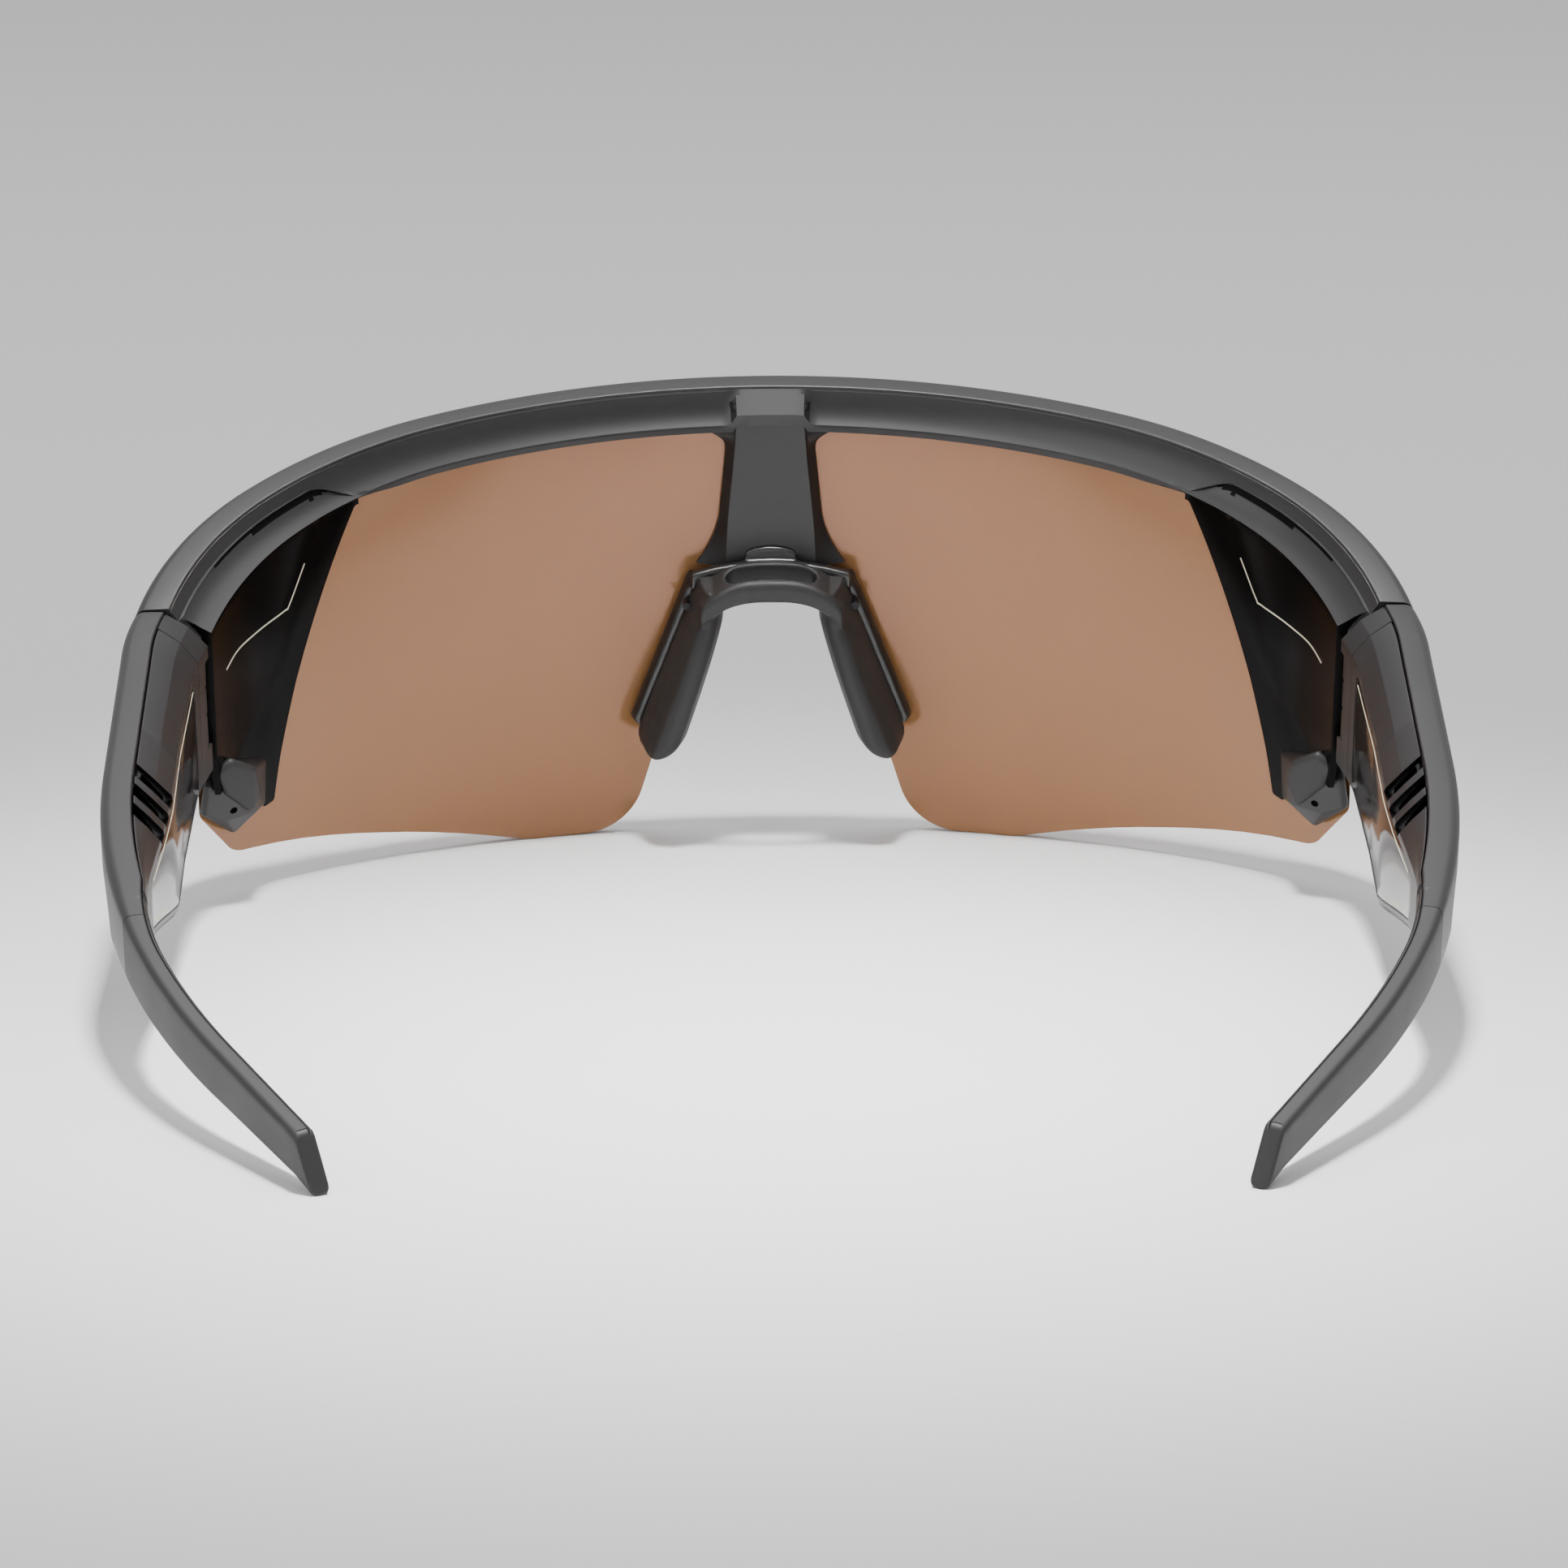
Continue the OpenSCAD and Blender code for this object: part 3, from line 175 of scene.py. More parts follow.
# %% [markdown]
# ## Mesh helpers
# `rounded` turns a few corners with radii into a smooth outline, `skin` stretches a mesh over rings
# of points, and `cut` subtracts one mesh from another or, told so, adds it. Normals are turned
# outwards by the sign of the enclosed volume, which is right for any closed piece, mirrored or not.


# %% Rounded outlines
def arc_corner(a, p, b, r, count):
    a, p, b = (np.array(q[:2], float) for q in (a, p, b))
    u, w = a - p, b - p
    lu, lw = np.linalg.norm(u), np.linalg.norm(w)
    u, w = u / lu, w / lw
    half = math.acos(max(-1.0, min(1.0, float(u @ w)))) / 2
    if half > math.pi / 2 - 0.01:
        return [tuple(p + u * 0.3 * lu * (1 - i / count) + w * 0.3 * lw * i / count)
                for i in range(count + 1)]
    r = min(r, 0.48 * min(lu, lw) * math.tan(half))
    middle = (u + w) / np.linalg.norm(u + w)
    c = p + middle * r / math.sin(half)
    a1 = math.atan2(*(p + u * r / math.tan(half) - c)[::-1])
    a2 = math.atan2(*(p + w * r / math.tan(half) - c)[::-1])
    sweep = (a2 - a1 + 3 * math.pi) % (2 * math.pi) - math.pi
    turns = [a1 + sweep * i / count for i in range(count + 1)]
    return [(c[0] + r * math.cos(a), c[1] + r * math.sin(a)) for a in turns]


def rounded(corners, count=5):
    """A closed outline from (x, y, radius) corners; a corner with no radius stays sharp."""
    out = []
    for i, p in enumerate(corners):
        a, b = corners[i - 1], corners[(i + 1) % len(corners)]
        out += arc_corner(a, p, b, p[2], count) if p[2] > 0 else [tuple(p[:2])]
    return out


def circle(x, y, r, count):
    return [(x + r * math.cos(t), y + r * math.sin(t)) for t in steps(0, 2 * math.pi, count)[:-1]]


# %% Pieces from points and rings
def in_scene(name, mesh):
    piece = bpy.data.objects.new(name, mesh)
    bpy.context.scene.collection.objects.link(piece)
    return piece


def from_bmesh(name, bm):
    mesh = bpy.data.meshes.new(name)
    bm.to_mesh(mesh)
    bm.free()
    return in_scene(name, mesh)


def new_piece(name, points, faces):
    mesh = bpy.data.meshes.new(name)
    mesh.from_pydata([tuple(p) for p in points], [], faces)
    bm = bmesh.new()
    bm.from_mesh(mesh)
    bmesh.ops.triangulate(bm, faces=[f for f in bm.faces if len(f.verts) > 4])
    if bm.calc_volume(signed=True) < 0:
        bmesh.ops.reverse_faces(bm, faces=bm.faces)
    bm.to_mesh(mesh)
    bm.free()
    return in_scene(name, mesh)


def skin(name, rings, mirrored=False):
    """A closed mesh over rings of equal point count, drawn in the wearer's frame."""
    p = np.array(rings, float)
    if mirrored:
        p[..., 0] *= -1
    m, n = p.shape[:2]
    faces = [(i * n + j, i * n + (j + 1) % n, (i + 1) * n + (j + 1) % n, (i + 1) * n + j)
             for i in range(m - 1) for j in range(n)]
    faces += [tuple(reversed(range(n))), tuple((m - 1) * n + j for j in range(n))]
    return new_piece(name, place(p.reshape(-1, 3)), faces)


def prism(name, outline, axis, low, high, mirrored=False):
    """An outline drawn across an axis of the wearer's frame and pulled along it."""
    rings = [[np.insert(np.array(q, float), axis, level) for q in outline] for level in (low, high)]
    return skin(name, rings, mirrored)


def box(low, high, mirrored=False):
    (x0, y0, z0), (x1, y1, z1) = low, high
    return prism("tool", [(x0, y0), (x1, y0), (x1, y1), (x0, y1)], 2, z0, z1, mirrored)


def pillar(x, y, r, low, high, mirrored=False, sides=48):
    return prism("tool", circle(x, y, r, sides), 2, low, high, mirrored)


# %% Modifiers, booleans and joining
def bake(piece):
    """Turns the piece's modifiers into plain mesh."""
    bpy.context.view_layer.update()
    seen = piece.evaluated_get(bpy.context.evaluated_depsgraph_get())
    mesh = bpy.data.meshes.new_from_object(seen)
    piece.modifiers.clear()
    old, piece.data = piece.data, mesh
    bpy.data.meshes.remove(old)
    mesh.name = piece.name
    return piece


def modify(piece, kind, **settings):
    modifier = piece.modifiers.new(kind.lower(), kind)
    for key, value in settings.items():
        setattr(modifier, key, value)
    return bake(piece)


def cut(piece, *tools, operation="DIFFERENCE"):
    for tool in tools:
        modify(piece, "BOOLEAN", object=tool, operation=operation, solver="MANIFOLD")
        bpy.data.objects.remove(tool)
    return piece


def join(name, pieces):
    """One object from several, with their meshes simply put together."""
    bm = bmesh.new()
    for piece in pieces:
        bm.from_mesh(piece.data)
    for piece in pieces:
        bpy.data.objects.remove(piece)
    return from_bmesh(name, bm)


# %% Handing a piece over
def done(piece, body, material, nodes=(), crease=32):
    """Shading, finish, body and the plain solids that this piece stands for."""
    finishes = material if isinstance(material, (list, tuple)) else [material]
    if len(finishes) == 1 or len(piece.data.materials) != len(finishes):
        piece.data.materials.clear()
        for m in finishes:
            piece.data.materials.append(m)
    piece.data.shade_smooth()
    piece.data.set_sharp_from_angle(angle=math.radians(crease))
    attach(piece, body)
    if nodes:
        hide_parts(*nodes)
    print(f"{piece.name}: {len(piece.data.polygons)} faces on {body}")
    return piece

# %% [markdown]
# ## Finishes
# Colours are written as the sRGB values that a colour chart gives, and `linear` turns them to the
# linear values that the renderer works in. `node` adds one shader node with its settings and links.

# %% Colour and node helpers
def linear(hex_code):
    channels = [int(hex_code[i:i + 2], 16) / 255 for i in (1, 3, 5)]
    return [c / 12.92 if c <= 0.04045 else ((c + 0.055) / 1.055) ** 2.4 for c in channels] + [1.0]


def node(tree, kind, inputs=None, **settings):
    made = tree.nodes.new(kind)
    for key, value in settings.items():
        setattr(made, key, value)
    for key, value in (inputs or {}).items():
        if isinstance(value, bpy.types.NodeSocket):
            tree.links.new(value, made.inputs[key])
        else:
            made.inputs[key].default_value = value
    return made


def finish(name, colour, roughness, metallic=0.0, ior=1.5, grain_mm=0.0, grain_depth=0.0,
           mottling=0.0, **shader):
    """A Principled finish. Its grain is a fine bump and its mottling a slow change of tone."""
    material = bpy.data.materials.new(name)
    material.use_nodes = True
    tree = material.node_tree
    surface = tree.nodes["Principled BSDF"]
    surface.inputs["Base Color"].default_value = linear(colour)
    surface.inputs["Roughness"].default_value = roughness
    surface.inputs["Metallic"].default_value = metallic
    surface.inputs["IOR"].default_value = ior
    for key, value in shader.items():
        surface.inputs[key.replace("_", " ")].default_value = value
    where = node(tree, "ShaderNodeTexCoord").outputs["Object"]
    if grain_mm:
        grain = node(tree, "ShaderNodeTexNoise", {"Vector": where, "Scale": 1 / (grain_mm * MM),
                                                  "Detail": 3.0, "Roughness": 0.6})
        bump = node(tree, "ShaderNodeBump", {"Height": grain.outputs["Fac"],
                                             "Distance": grain_depth * MM, "Strength": 1.0})
        tree.links.new(bump.outputs["Normal"], surface.inputs["Normal"])
    if mottling:
        cloud = node(tree, "ShaderNodeTexNoise", {"Vector": where, "Scale": 90.0, "Detail": 5.0})
        dark, light = linear(colour), linear(colour)
        dark[:3] = [c * (1 - mottling) for c in dark[:3]]
        light[:3] = [min(1, c * (1 + mottling)) for c in light[:3]]
        tone = node(tree, "ShaderNodeMix", data_type="RGBA")
        tree.links.new(cloud.outputs["Fac"], tone.inputs["Factor"])
        tone.inputs[6].default_value = dark
        tone.inputs[7].default_value = light
        tree.links.new(tone.outputs[2], surface.inputs["Base Color"])
        rough = node(tree, "ShaderNodeMapRange", {"Value": cloud.outputs["Fac"],
                                                  "To Min": roughness * 0.9,
                                                  "To Max": roughness * 1.1})
        tree.links.new(rough.outputs["Result"], surface.inputs["Roughness"])
    return material


# %% [markdown]
# ### What the pieces are made of
# The frame is glass-filled nylon, moulded in a spark-eroded tool, so it has a fine even grain and a
# soft grey sheen. The trims are polished polycarbonate. The pads, socks and bumpers are an
# elastomer, duller than the nylon. The lens is polycarbonate with a mirror coat on its front; from
# behind it looks like warm smoked glass that gives back a rosy reflection of what it faces. Screws
# and pins are stainless, leaves and grilles blackened steel, the boards wear green solder mask and
# the cells sit in foil pouches. Real moulded grain is some 0.05 mm wide; it is drawn a little
# coarser here, so that it shows.

# %% Materials
nylon = finish("moulded_nylon", "#181617", 0.42, grain_mm=0.12, grain_depth=0.006, mottling=0.06)
rubber = finish("overmoulded_elastomer", "#151414", 0.58, grain_mm=0.16, grain_depth=0.005,
                mottling=0.08)
polished = finish("polished_polycarbonate", "#100E0E", 0.09, ior=1.58, mottling=0.04)
satin = finish("satin_polycarbonate", "#151414", 0.30, ior=1.58, grain_mm=0.1, grain_depth=0.002,
               mottling=0.05)
# Darker gloss for the side panels' faces that do not point up: painted shade, not a different
# plastic.
panel_shade_gloss = finish("polycarbonate_painted_shade", "#080707", 0.20, ior=1.45, mottling=0.04,
                    Specular_IOR_Level=0.08)
lens_inside = finish("tinted_polycarbonate", "#86603C", 0.12, ior=1.75, mottling=0.015,
                     Specular_Tint=linear("#FFC8BC"))
lens_outside = finish("mirror_coat", "#C9A58A", 0.05, metallic=1.0, mottling=0.02,
                      Coat_Weight=0.4)
lens_rim = finish("cut_polycarbonate_edge", "#3A2A24", 0.30, ior=1.58, mottling=0.1)
ink = finish("pad_printed_ink", "#CFC8AE", 0.55, grain_mm=0.2, grain_depth=0.001, mottling=0.04)
steel = finish("stainless_steel", "#B9BABC", 0.28, metallic=1.0, grain_mm=0.15, grain_depth=0.002,
               mottling=0.05)
blackened = finish("blackened_steel", "#2A2A2C", 0.38, metallic=1.0, grain_mm=0.15,
                   grain_depth=0.002, mottling=0.08)
soldermask = finish("green_soldermask", "#1E5A34", 0.32, mottling=0.1)
polyimide = finish("polyimide_film", "#B06A20", 0.28, mottling=0.08)
foil = finish("pouch_foil", "#A9ABB0", 0.35, metallic=1.0, grain_mm=0.8, grain_depth=0.02,
              mottling=0.06)
diffuser = finish("frosted_light_guide", "#E6E6E0", 0.5, mottling=0.02)
dark_glass = finish("coated_camera_glass", "#08080C", 0.03, ior=1.6, Coat_Weight=1.0, mottling=0.05)
paper_floor = finish("studio_floor", "#D9D9D9", 0.9, grain_mm=3.0, grain_depth=0.02)
print("materials", len(bpy.data.materials))

# %% [markdown]
# ## The brow
# The brow is a thin wall over the top of the lens with a flat band on top. Behind the band a second
# moulding, the inner cover, slopes down to the lens as a shallow cove. Both are lofts along the
# plan path, so one section each, as a function of s, is the whole design.

# %% Brow heights and sections
DROP_FROM = 45.0
LENS_SET = 4.5
LENS_R = 80.0
LENS_T = 1.8
LENS_LEAN = math.radians(10)
PANEL_S0, PANEL_S1 = 57.0, 65.0
SEAM_SHARE = 0.3
SWING_GAP = 0.3
KNUCKLE_R = 1.3
RELIEF_R = KNUCKLE_R + SWING_GAP


def brow_top(s):
    drop = max(0.0, abs(s) - DROP_FROM) / (S_SEAM - DROP_FROM)
    return BROW_RISE - (BROW_RISE - SEAM_TOP) * drop ** 2


def low_ridge(s):
    s = abs(s)
    depth = mix(6.7, ARM_T, smooth((s - 45) / 50))
    return (depth, brow_top(s) - mix(4.1, 4.6, smooth((s - 40) / 50)))


def bevel(s, u, sag=0.0):
    """A point on the cove behind the top band, at share u of the way down to the lower ridge."""
    d1, z1 = low_ridge(s)
    d0, z0 = TOP_BAND, brow_top(s) - 0.3
    hollow = sag * math.sin(math.pi * clamp01(u))
    return (mix(d0, d1, u) - hollow * 0.8, mix(z0, z1, u) - hollow * 0.5)


def endpiece(s):
    return smooth((abs(s) - 60) / 22)


def brow_section(s):
    t, e = brow_top(s), endpiece(s)
    low = mix(-FRONT_LIP, -HOUSING_H, e)
    under = mix(t - 1.9, t - 2.6, e)
    lip_d = mix(FRONT_WALL + 0.9, FRONT_WALL, e)
    return rounded([(0, t, 1.35), (TOP_BAND, t, 0.3), (TOP_BAND, t - 1.4, 0),
                    (FRONT_WALL + 0.3, under, 0), (FRONT_WALL, under - 0.4, 0.2),
                    (lip_d, low, 0.5), (0.7, low, 0.6), (0.22, low + 0.95, 0.8),
                    (0, mix(t, low, 0.5), 0)], 6)


def lens_y(x, z):
    return (-LENS_SET - (LENS_R - math.sqrt(LENS_R ** 2 - x * x)) / math.cos(LENS_LEAN)
            + z * math.tan(LENS_LEAN))


def depth_in_brow(x, y):
    if math.atan2(x, y + BROW_R) <= CORNER_ANGLE:
        return BROW_R - math.hypot(x, y + BROW_R)
    return CORNER_R - math.hypot(x - CORNER_C[0], y - CORNER_C[1])


def lens_depth(s, z):
    d = LENS_SET
    for _ in range(4):
        x = at(abs(s), d, z)[0]
        d = depth_in_brow(x, lens_y(x, z))
    return d


def swing_room(mirrored):
    """What the arm sweeps through at the end of the front: everything behind the seam."""
    back = box((0, HINGE_Y - 20, -60), (100, HINGE_Y + SWING_GAP, 30), mirrored)
    inboard = box((0, HINGE_Y - 20, -60), (HINGE_X, HINGE_Y + RELIEF_R + 0.08, 30), mirrored)
    round_part = pillar(HINGE_X, HINGE_Y, RELIEF_R, -60, 30, mirrored)
    return back, inboard, round_part


print(f"brow: {brow_top(0) - brow_top(S_SEAM):.1f} mm higher in the middle than at the seam")


# %% Brow frame
ANCHOR_LEN = 11.0
LEAF_X = HINGE_X + 0.75
LEAF_T = 1.3


def hinge_anchor(mirrored):
    """The block inside each end of the brow that carries the hinge leaf."""
    stations = [at(s, 1, 0) for s in steps(S_SEAM + 1, S_SEAM - ANCHOR_LEN, 16)]
    inner = LEAF_X + LEAF_T + 0.03
    outline = [(inner, HINGE_Y - 1), (inner, stations[-1][1])] + [p[:2] for p in stations[::-1]]
    return prism("anchor", outline, 2, -HOUSING_H + 1.7, -3.7, mirrored)


brow_rings = [ring_at(s, brow_section(s)) for s in steps(-S_SEAM - 1, S_SEAM + 1, 220)]
brow = skin("brow_shell", brow_rings)
for flip in (False, True):
    cut(brow, hinge_anchor(flip), operation="UNION")
    cut(brow, *swing_room(flip))
done(brow, "front", nylon, ["brow_frame"])

# %% [markdown]
# ## The bridge
# A bar stands behind the lens in the middle and swells into the brow with two small fillets. It is
# a stack of level slices, so its half width and its flare are functions of z. The inner cover is
# cut with the same stack, grown by a hair, which leaves the fine parting line around its top.

# %% Bridge slices
NOTCH_TOP = 15.0
BRIDGE_TOP = 4.75
BRIDGE_BOTTOM = -NOTCH_TOP - 0.4
BRIDGE_PROUD = 2.4
BRIDGE_SEAT = 0.15
BRIDGE_HALF = 4.25


def bridge_slice(z, grow):
    run = clamp01((4.9 - z) / 20.3)
    half = BRIDGE_HALF + 1.4 * smooth(run)
    fillet = 2.3 * (math.exp(-((z - 1.4) / 1.15) ** 2) if z < 1.4 else 1 - smooth((z - 1.4) / 2.4))
    side = half + 0.95 + 3.0 * clamp01((-z - 9) / 7) ** 2 + fillet + grow
    rear = max(lens_y(0, z) - BRIDGE_SEAT - BRIDGE_PROUD, -5.75 - 1.1 * (BRIDGE_TOP - z)) - grow
    edge = lens_y(side, z) - BRIDGE_SEAT
    front = [(x, lens_y(x, z) - BRIDGE_SEAT) for x in steps(-side, side, 8)]
    k = 0.18
    flank = (half + grow + 0.9 * k, mix(rear, edge - 0.55, k))
    back = [(side, edge - 0.55), flank, (half + grow - 0.15, rear),
            (-half - grow + 0.15, rear), (-flank[0], flank[1]), (-side, edge - 0.55)]
    return [(x, y, z) for x, y in front + back]


def bridge_form(name, grow):
    heights = steps(BRIDGE_BOTTOM - grow, BRIDGE_TOP + grow, 90)
    return skin(name, [bridge_slice(z, grow) for z in heights])


bridge = bridge_form("bridge_bar", 0.0)
done(bridge, "front", nylon, ["bridge_cover"], crease=24)

# %% Inner cover of the brow
COVER_GAP = 0.08
HOOD_HALF = 4.25


def cover_end(s):
    return mix(1, SEAM_SHARE, smooth((abs(s) - PANEL_S0) / (PANEL_S1 - PANEL_S0)))


def cover_section(s):
    u = cover_end(s)
    e = smooth((abs(s) - PANEL_S0 + 6) / (PANEL_S1 - PANEL_S0))
    t, tail, d0 = brow_top(s), bevel(s, u), TOP_BAND + COVER_GAP
    lip = mix(tail[1] - 1.35, tail[1] - 0.5, e)
    behind_lens = lens_depth(min(abs(s), 70), 0) + 0.3
    back = mix(behind_lens, d0 + 0.1, smooth((abs(s) - PANEL_S0 - 3) / 5))
    back = min(back, tail[0] - 0.4)
    hood = 1 - smooth((abs(s) - HOOD_HALF) / 1.3)
    cove = [bevel(s, u * v, 0.5 * (1 - hood)) for v in steps(0.02, 0.97, 12)]
    lifted = [(mix(d, TOP_BAND + 0.06 + 2.7 * v, hood), mix(z, t - 0.32 - 2.25 * v, hood))
              for v, (d, z) in zip(steps(0, 1, 12), cove)]
    under = [(tail[0] - 0.02, tail[1] - 0.12),
             (tail[0] - mix(0.12, 0.1, e), tail[1] - mix(0.4, 0.2, e)),
             (tail[0] - mix(0.25, 0.2, e), tail[1] - mix(0.9, 0.3, e))]
    inside = [(back, lip), (back - 0.1, lip + 0.25), (d0, t - 1.5)]
    return [(d0, t - 0.35)] + lifted + under + inside


COVER_HALF = S_SEAM - 1.2
cover_rings = [ring_at(s, cover_section(s)) for s in steps(-COVER_HALF, COVER_HALF, 260)]
cover = skin("inner_cover", cover_rings)
cut(cover, bridge_form("tool", 0.07))
for flip in (False, True):
    cut(cover, *swing_room(flip))
done(cover, "front", nylon, ["brow_inner_cover"], crease=26)

# %% [markdown]
# ## The lens
# The lens is a piece of a cylinder that leans forward, cut to an outline drawn straight from
# behind. The outline starts as one flat face. Upright planes slice it every 3 mm, a thin band
# along its edge is kept for the cut rim, and every point then takes its depth from the cylinder's
# formula.

# %% Lens outline
LOBE_DEPTH = 48.6
LOBE_X = 25.0
LENS_HALF = 68.4
SADDLE_HALF = 6.1
LENS_INNER_HALF = 64.5


def lens_top(x):
    return brow_top(math.asin(x / (BROW_R - LENS_SET)) * BROW_R) - 3.6


def lens_half_outline():
    corner_z = LOBE_DEPTH - 20
    top = [(x, lens_top(x), 0) for x in steps(0, 60, 40)]
    rest = [
        (LENS_INNER_HALF, brow_top(74) - 5.4, 2.5), (LENS_INNER_HALF, -18.5, 2),
        (LENS_HALF, -22.5, 2.5), (LENS_HALF, -corner_z, 3), (LENS_HALF - 3.6, -corner_z - 7.2, 3.5),
        (LENS_HALF - 20, -LOBE_DEPTH + 6.6, 30), (LOBE_X + 5, -LOBE_DEPTH + 0.2, 12),
        (LOBE_X - 7.2, -LOBE_DEPTH - 0.6, 7), (LOBE_X - 12, -LOBE_DEPTH + 14, 10),
        (SADDLE_HALF + 3, -26, 12), (SADDLE_HALF, -NOTCH_TOP, 4), (0, -NOTCH_TOP, 0)]
    return rounded(top + rest, 14)


half_outline = lens_half_outline()
outline = half_outline + [(-x, z) for x, z in reversed(half_outline[1:-1])]
CAMERA_Z = -8.6
LENS_HOLE_R = 3.7
SLICE = 3.0
RIM_BAND = 0.22
print(f"lens: {len(outline)} points round, {2 * LENS_HALF:.1f} mm wide")


# %% Lens sheet
def lens_sheet():
    """The flat outline as a triangle mesh, sliced so that it bends smoothly."""
    bm = bmesh.new()
    rim = [bm.verts.new((x, 0, z)) for x, z in outline]
    bm.faces.new(rim)
    for x in np.arange(-66, 66.1, SLICE):
        geometry = bm.verts[:] + bm.edges[:] + bm.faces[:]
        bmesh.ops.bisect_plane(bm, geom=geometry, plane_co=(x, 0, 0), plane_no=(1, 0, 0), dist=1e-4)
    edge_band = bmesh.ops.inset_region(bm, faces=bm.faces, thickness=RIM_BAND,
                                       use_boundary=True)["faces"]
    for face in edge_band:
        face.material_index = 2
    bmesh.ops.triangulate(bm, faces=bm.faces[:])
    return bm


sheet = lens_sheet()
sheet.verts.index_update()
flat = [tuple(v.co) for v in sheet.verts]
triangles = [tuple(v.index for v in f.verts) for f in sheet.faces]
bands = [f.material_index for f in sheet.faces]
border = [tuple(v.index for v in e.verts) for e in sheet.edges if len(e.link_faces) == 1]
sheet.free()


def outer_y(x, z):
    radius = LENS_R + LENS_T
    return (-LENS_SET + LENS_T / math.cos(LENS_LEAN) + z * math.tan(LENS_LEAN)
            - (radius - math.sqrt(radius ** 2 - x * x)) / math.cos(LENS_LEAN))


# %% Lens body
# Both faces share one triangulation, so the rim between them closes point to point.
rear = [(x, lens_y(x, z), z) for x, _, z in flat]
front = [(x, outer_y(x, z), z) for x, _, z in flat]
count = len(flat)
lens_bm = bmesh.new()
verts = [lens_bm.verts.new(p) for p in place(np.array(rear + front))]
for k, (a, b, c) in enumerate(triangles):
    lens_bm.faces.new([verts[i] for i in (a, b, c)]).material_index = bands[k]
    lens_bm.faces.new([verts[i + count] for i in (a, c, b)]).material_index = max(1, bands[k])
for a, b in border:
    lens_bm.faces.new([verts[i] for i in (a, b, b + count, a + count)]).material_index = 2
bmesh.ops.recalc_face_normals(lens_bm, faces=lens_bm.faces)
lens = from_bmesh("mirrored_lens", lens_bm)
for m in (lens_inside, lens_outside, lens_rim):
    lens.data.materials.append(m)


def camera_eye():
    """The hole for the camera, square to the lens."""
    middle = Vector((0, lens_y(0, CAMERA_Z) + LENS_T, CAMERA_Z))
    turn = Quaternion((1, 0, 0), -LENS_LEAN - math.pi / 2)
    rim = circle(0, 0, LENS_HOLE_R, 64)
    return skin("tool", [[middle + turn @ Vector((x, y, z)) for x, y in rim] for z in (-6, 6)])


cut(lens, camera_eye())
done(lens, "front", [lens_inside, lens_outside, lens_rim], ["lens"], crease=40)

# %% [markdown]
# ## Nose bracket and pad
# A hard fork is clipped under the bridge, and a soft pad is stretched over it. The pad is one
# rubber moulding with rounded inner corners, so its wings and its saddle are drawn as separate
# lofts and then fused by a fine voxel remesh, which melts the corners together as a mould would.

# %% Wing shapes
WING_DEPTH = 36.8
WING_TOP = NOTCH_TOP + 1.2
BRACKET_GAP = 0.5
BRACKET_T = 1.5
BAR_H = 2.2


def wing_in(z):
    return SADDLE_HALF + 0.1 + 5.4 * clamp01((-z - 20) / (WING_DEPTH - 20)) ** 1.15


def wing_out(z):
    return SADDLE_HALF + 4.0 + 8.4 * clamp01((-z - WING_TOP) / (WING_DEPTH - WING_TOP))


def bracket_ring(z, end):
    xi, xo = wing_in(z) + 0.8, wing_out(z)
    yi, yo = lens_y(xi, z) - BRACKET_GAP, lens_y(xo, z) - BRACKET_GAP
    shrink = end * (xo - xi) * 0.3
    ring = rounded([(xi + shrink, yi, 0.3), (xo - shrink, yo, 0.3),
                    (xo - shrink + 0.2, yo - 0.7, 0.35),
                    (xo - shrink - 0.3, yo - BRACKET_T - 0.6, 0.5),
                    (xi + shrink + 0.8, yi - BRACKET_T - 0.9, 0.5),
                    (xi + shrink - 0.1, yi - BRACKET_T, 0.4)], 4)
    return [(x, y, z) for x, y in ring]


def bracket_bar():
    rings = []
    half = SADDLE_HALF + 3.6
    for x in steps(-half, half, 40):
        top = -WING_TOP + 0.9 + 1.2 * (1 - (abs(x) / half) ** 2)
        y = lens_y(x, top) - BRIDGE_PROUD - 0.4
        rings.append([(x, b, c) for b, c in rounded(
            [(y, top, 0.4), (y - BRACKET_T, top, 0.5),
             (y - BRACKET_T, top - BAR_H, 0.5), (y, top - BAR_H, 0.4)], 4)])
    return skin("bar", rings)


def tab():
    """The small tongue that clips the fork to the bridge."""
    rings = []
    for z in steps(-15.2, -12.6, 20):
        half = 3.2 * math.sqrt(max(0.02, 1 - clamp01((z + 13.6) / 1.0) ** 2))
        y = lens_y(0, z) - BRIDGE_PROUD - BRIDGE_SEAT
        rings.append([(x, b, z) for x, b in rounded(
            [(half, y - 0.05, 0.1), (half, y - 0.65, 0.3),
             (-half, y - 0.65, 0.3), (-half, y - 0.05, 0.1)], 4)])
    return skin("tab", rings)


zs = steps(-WING_TOP, -WING_DEPTH + 1.6, 50)
fork_rings = [bracket_ring(z, smooth((i - 46) / 4)) for i, z in enumerate(zs)]
forks = [skin("fork", fork_rings, flip) for flip in (False, True)]
bracket = join("nose_bracket_fork", forks + [bracket_bar(), tab()])
modify(bracket, "REMESH", mode="VOXEL", voxel_size=0.22 * MM)
modify(bracket, "SMOOTH", factor=0.5, iterations=4)
done(bracket, "front", satin, ["nose_bracket"], crease=60)

# %% Nose pad
SADDLE_TOP = -NOTCH_TOP + 1.4
SADDLE_FRONT = lens_y(0, SADDLE_TOP) - BRIDGE_PROUD - 0.4 - BRACKET_T - 0.1
SADDLE_LEN = 6.2
SADDLE_H = 2.9
SLOT_HALF = 5.9
FOOT_R = 3.0


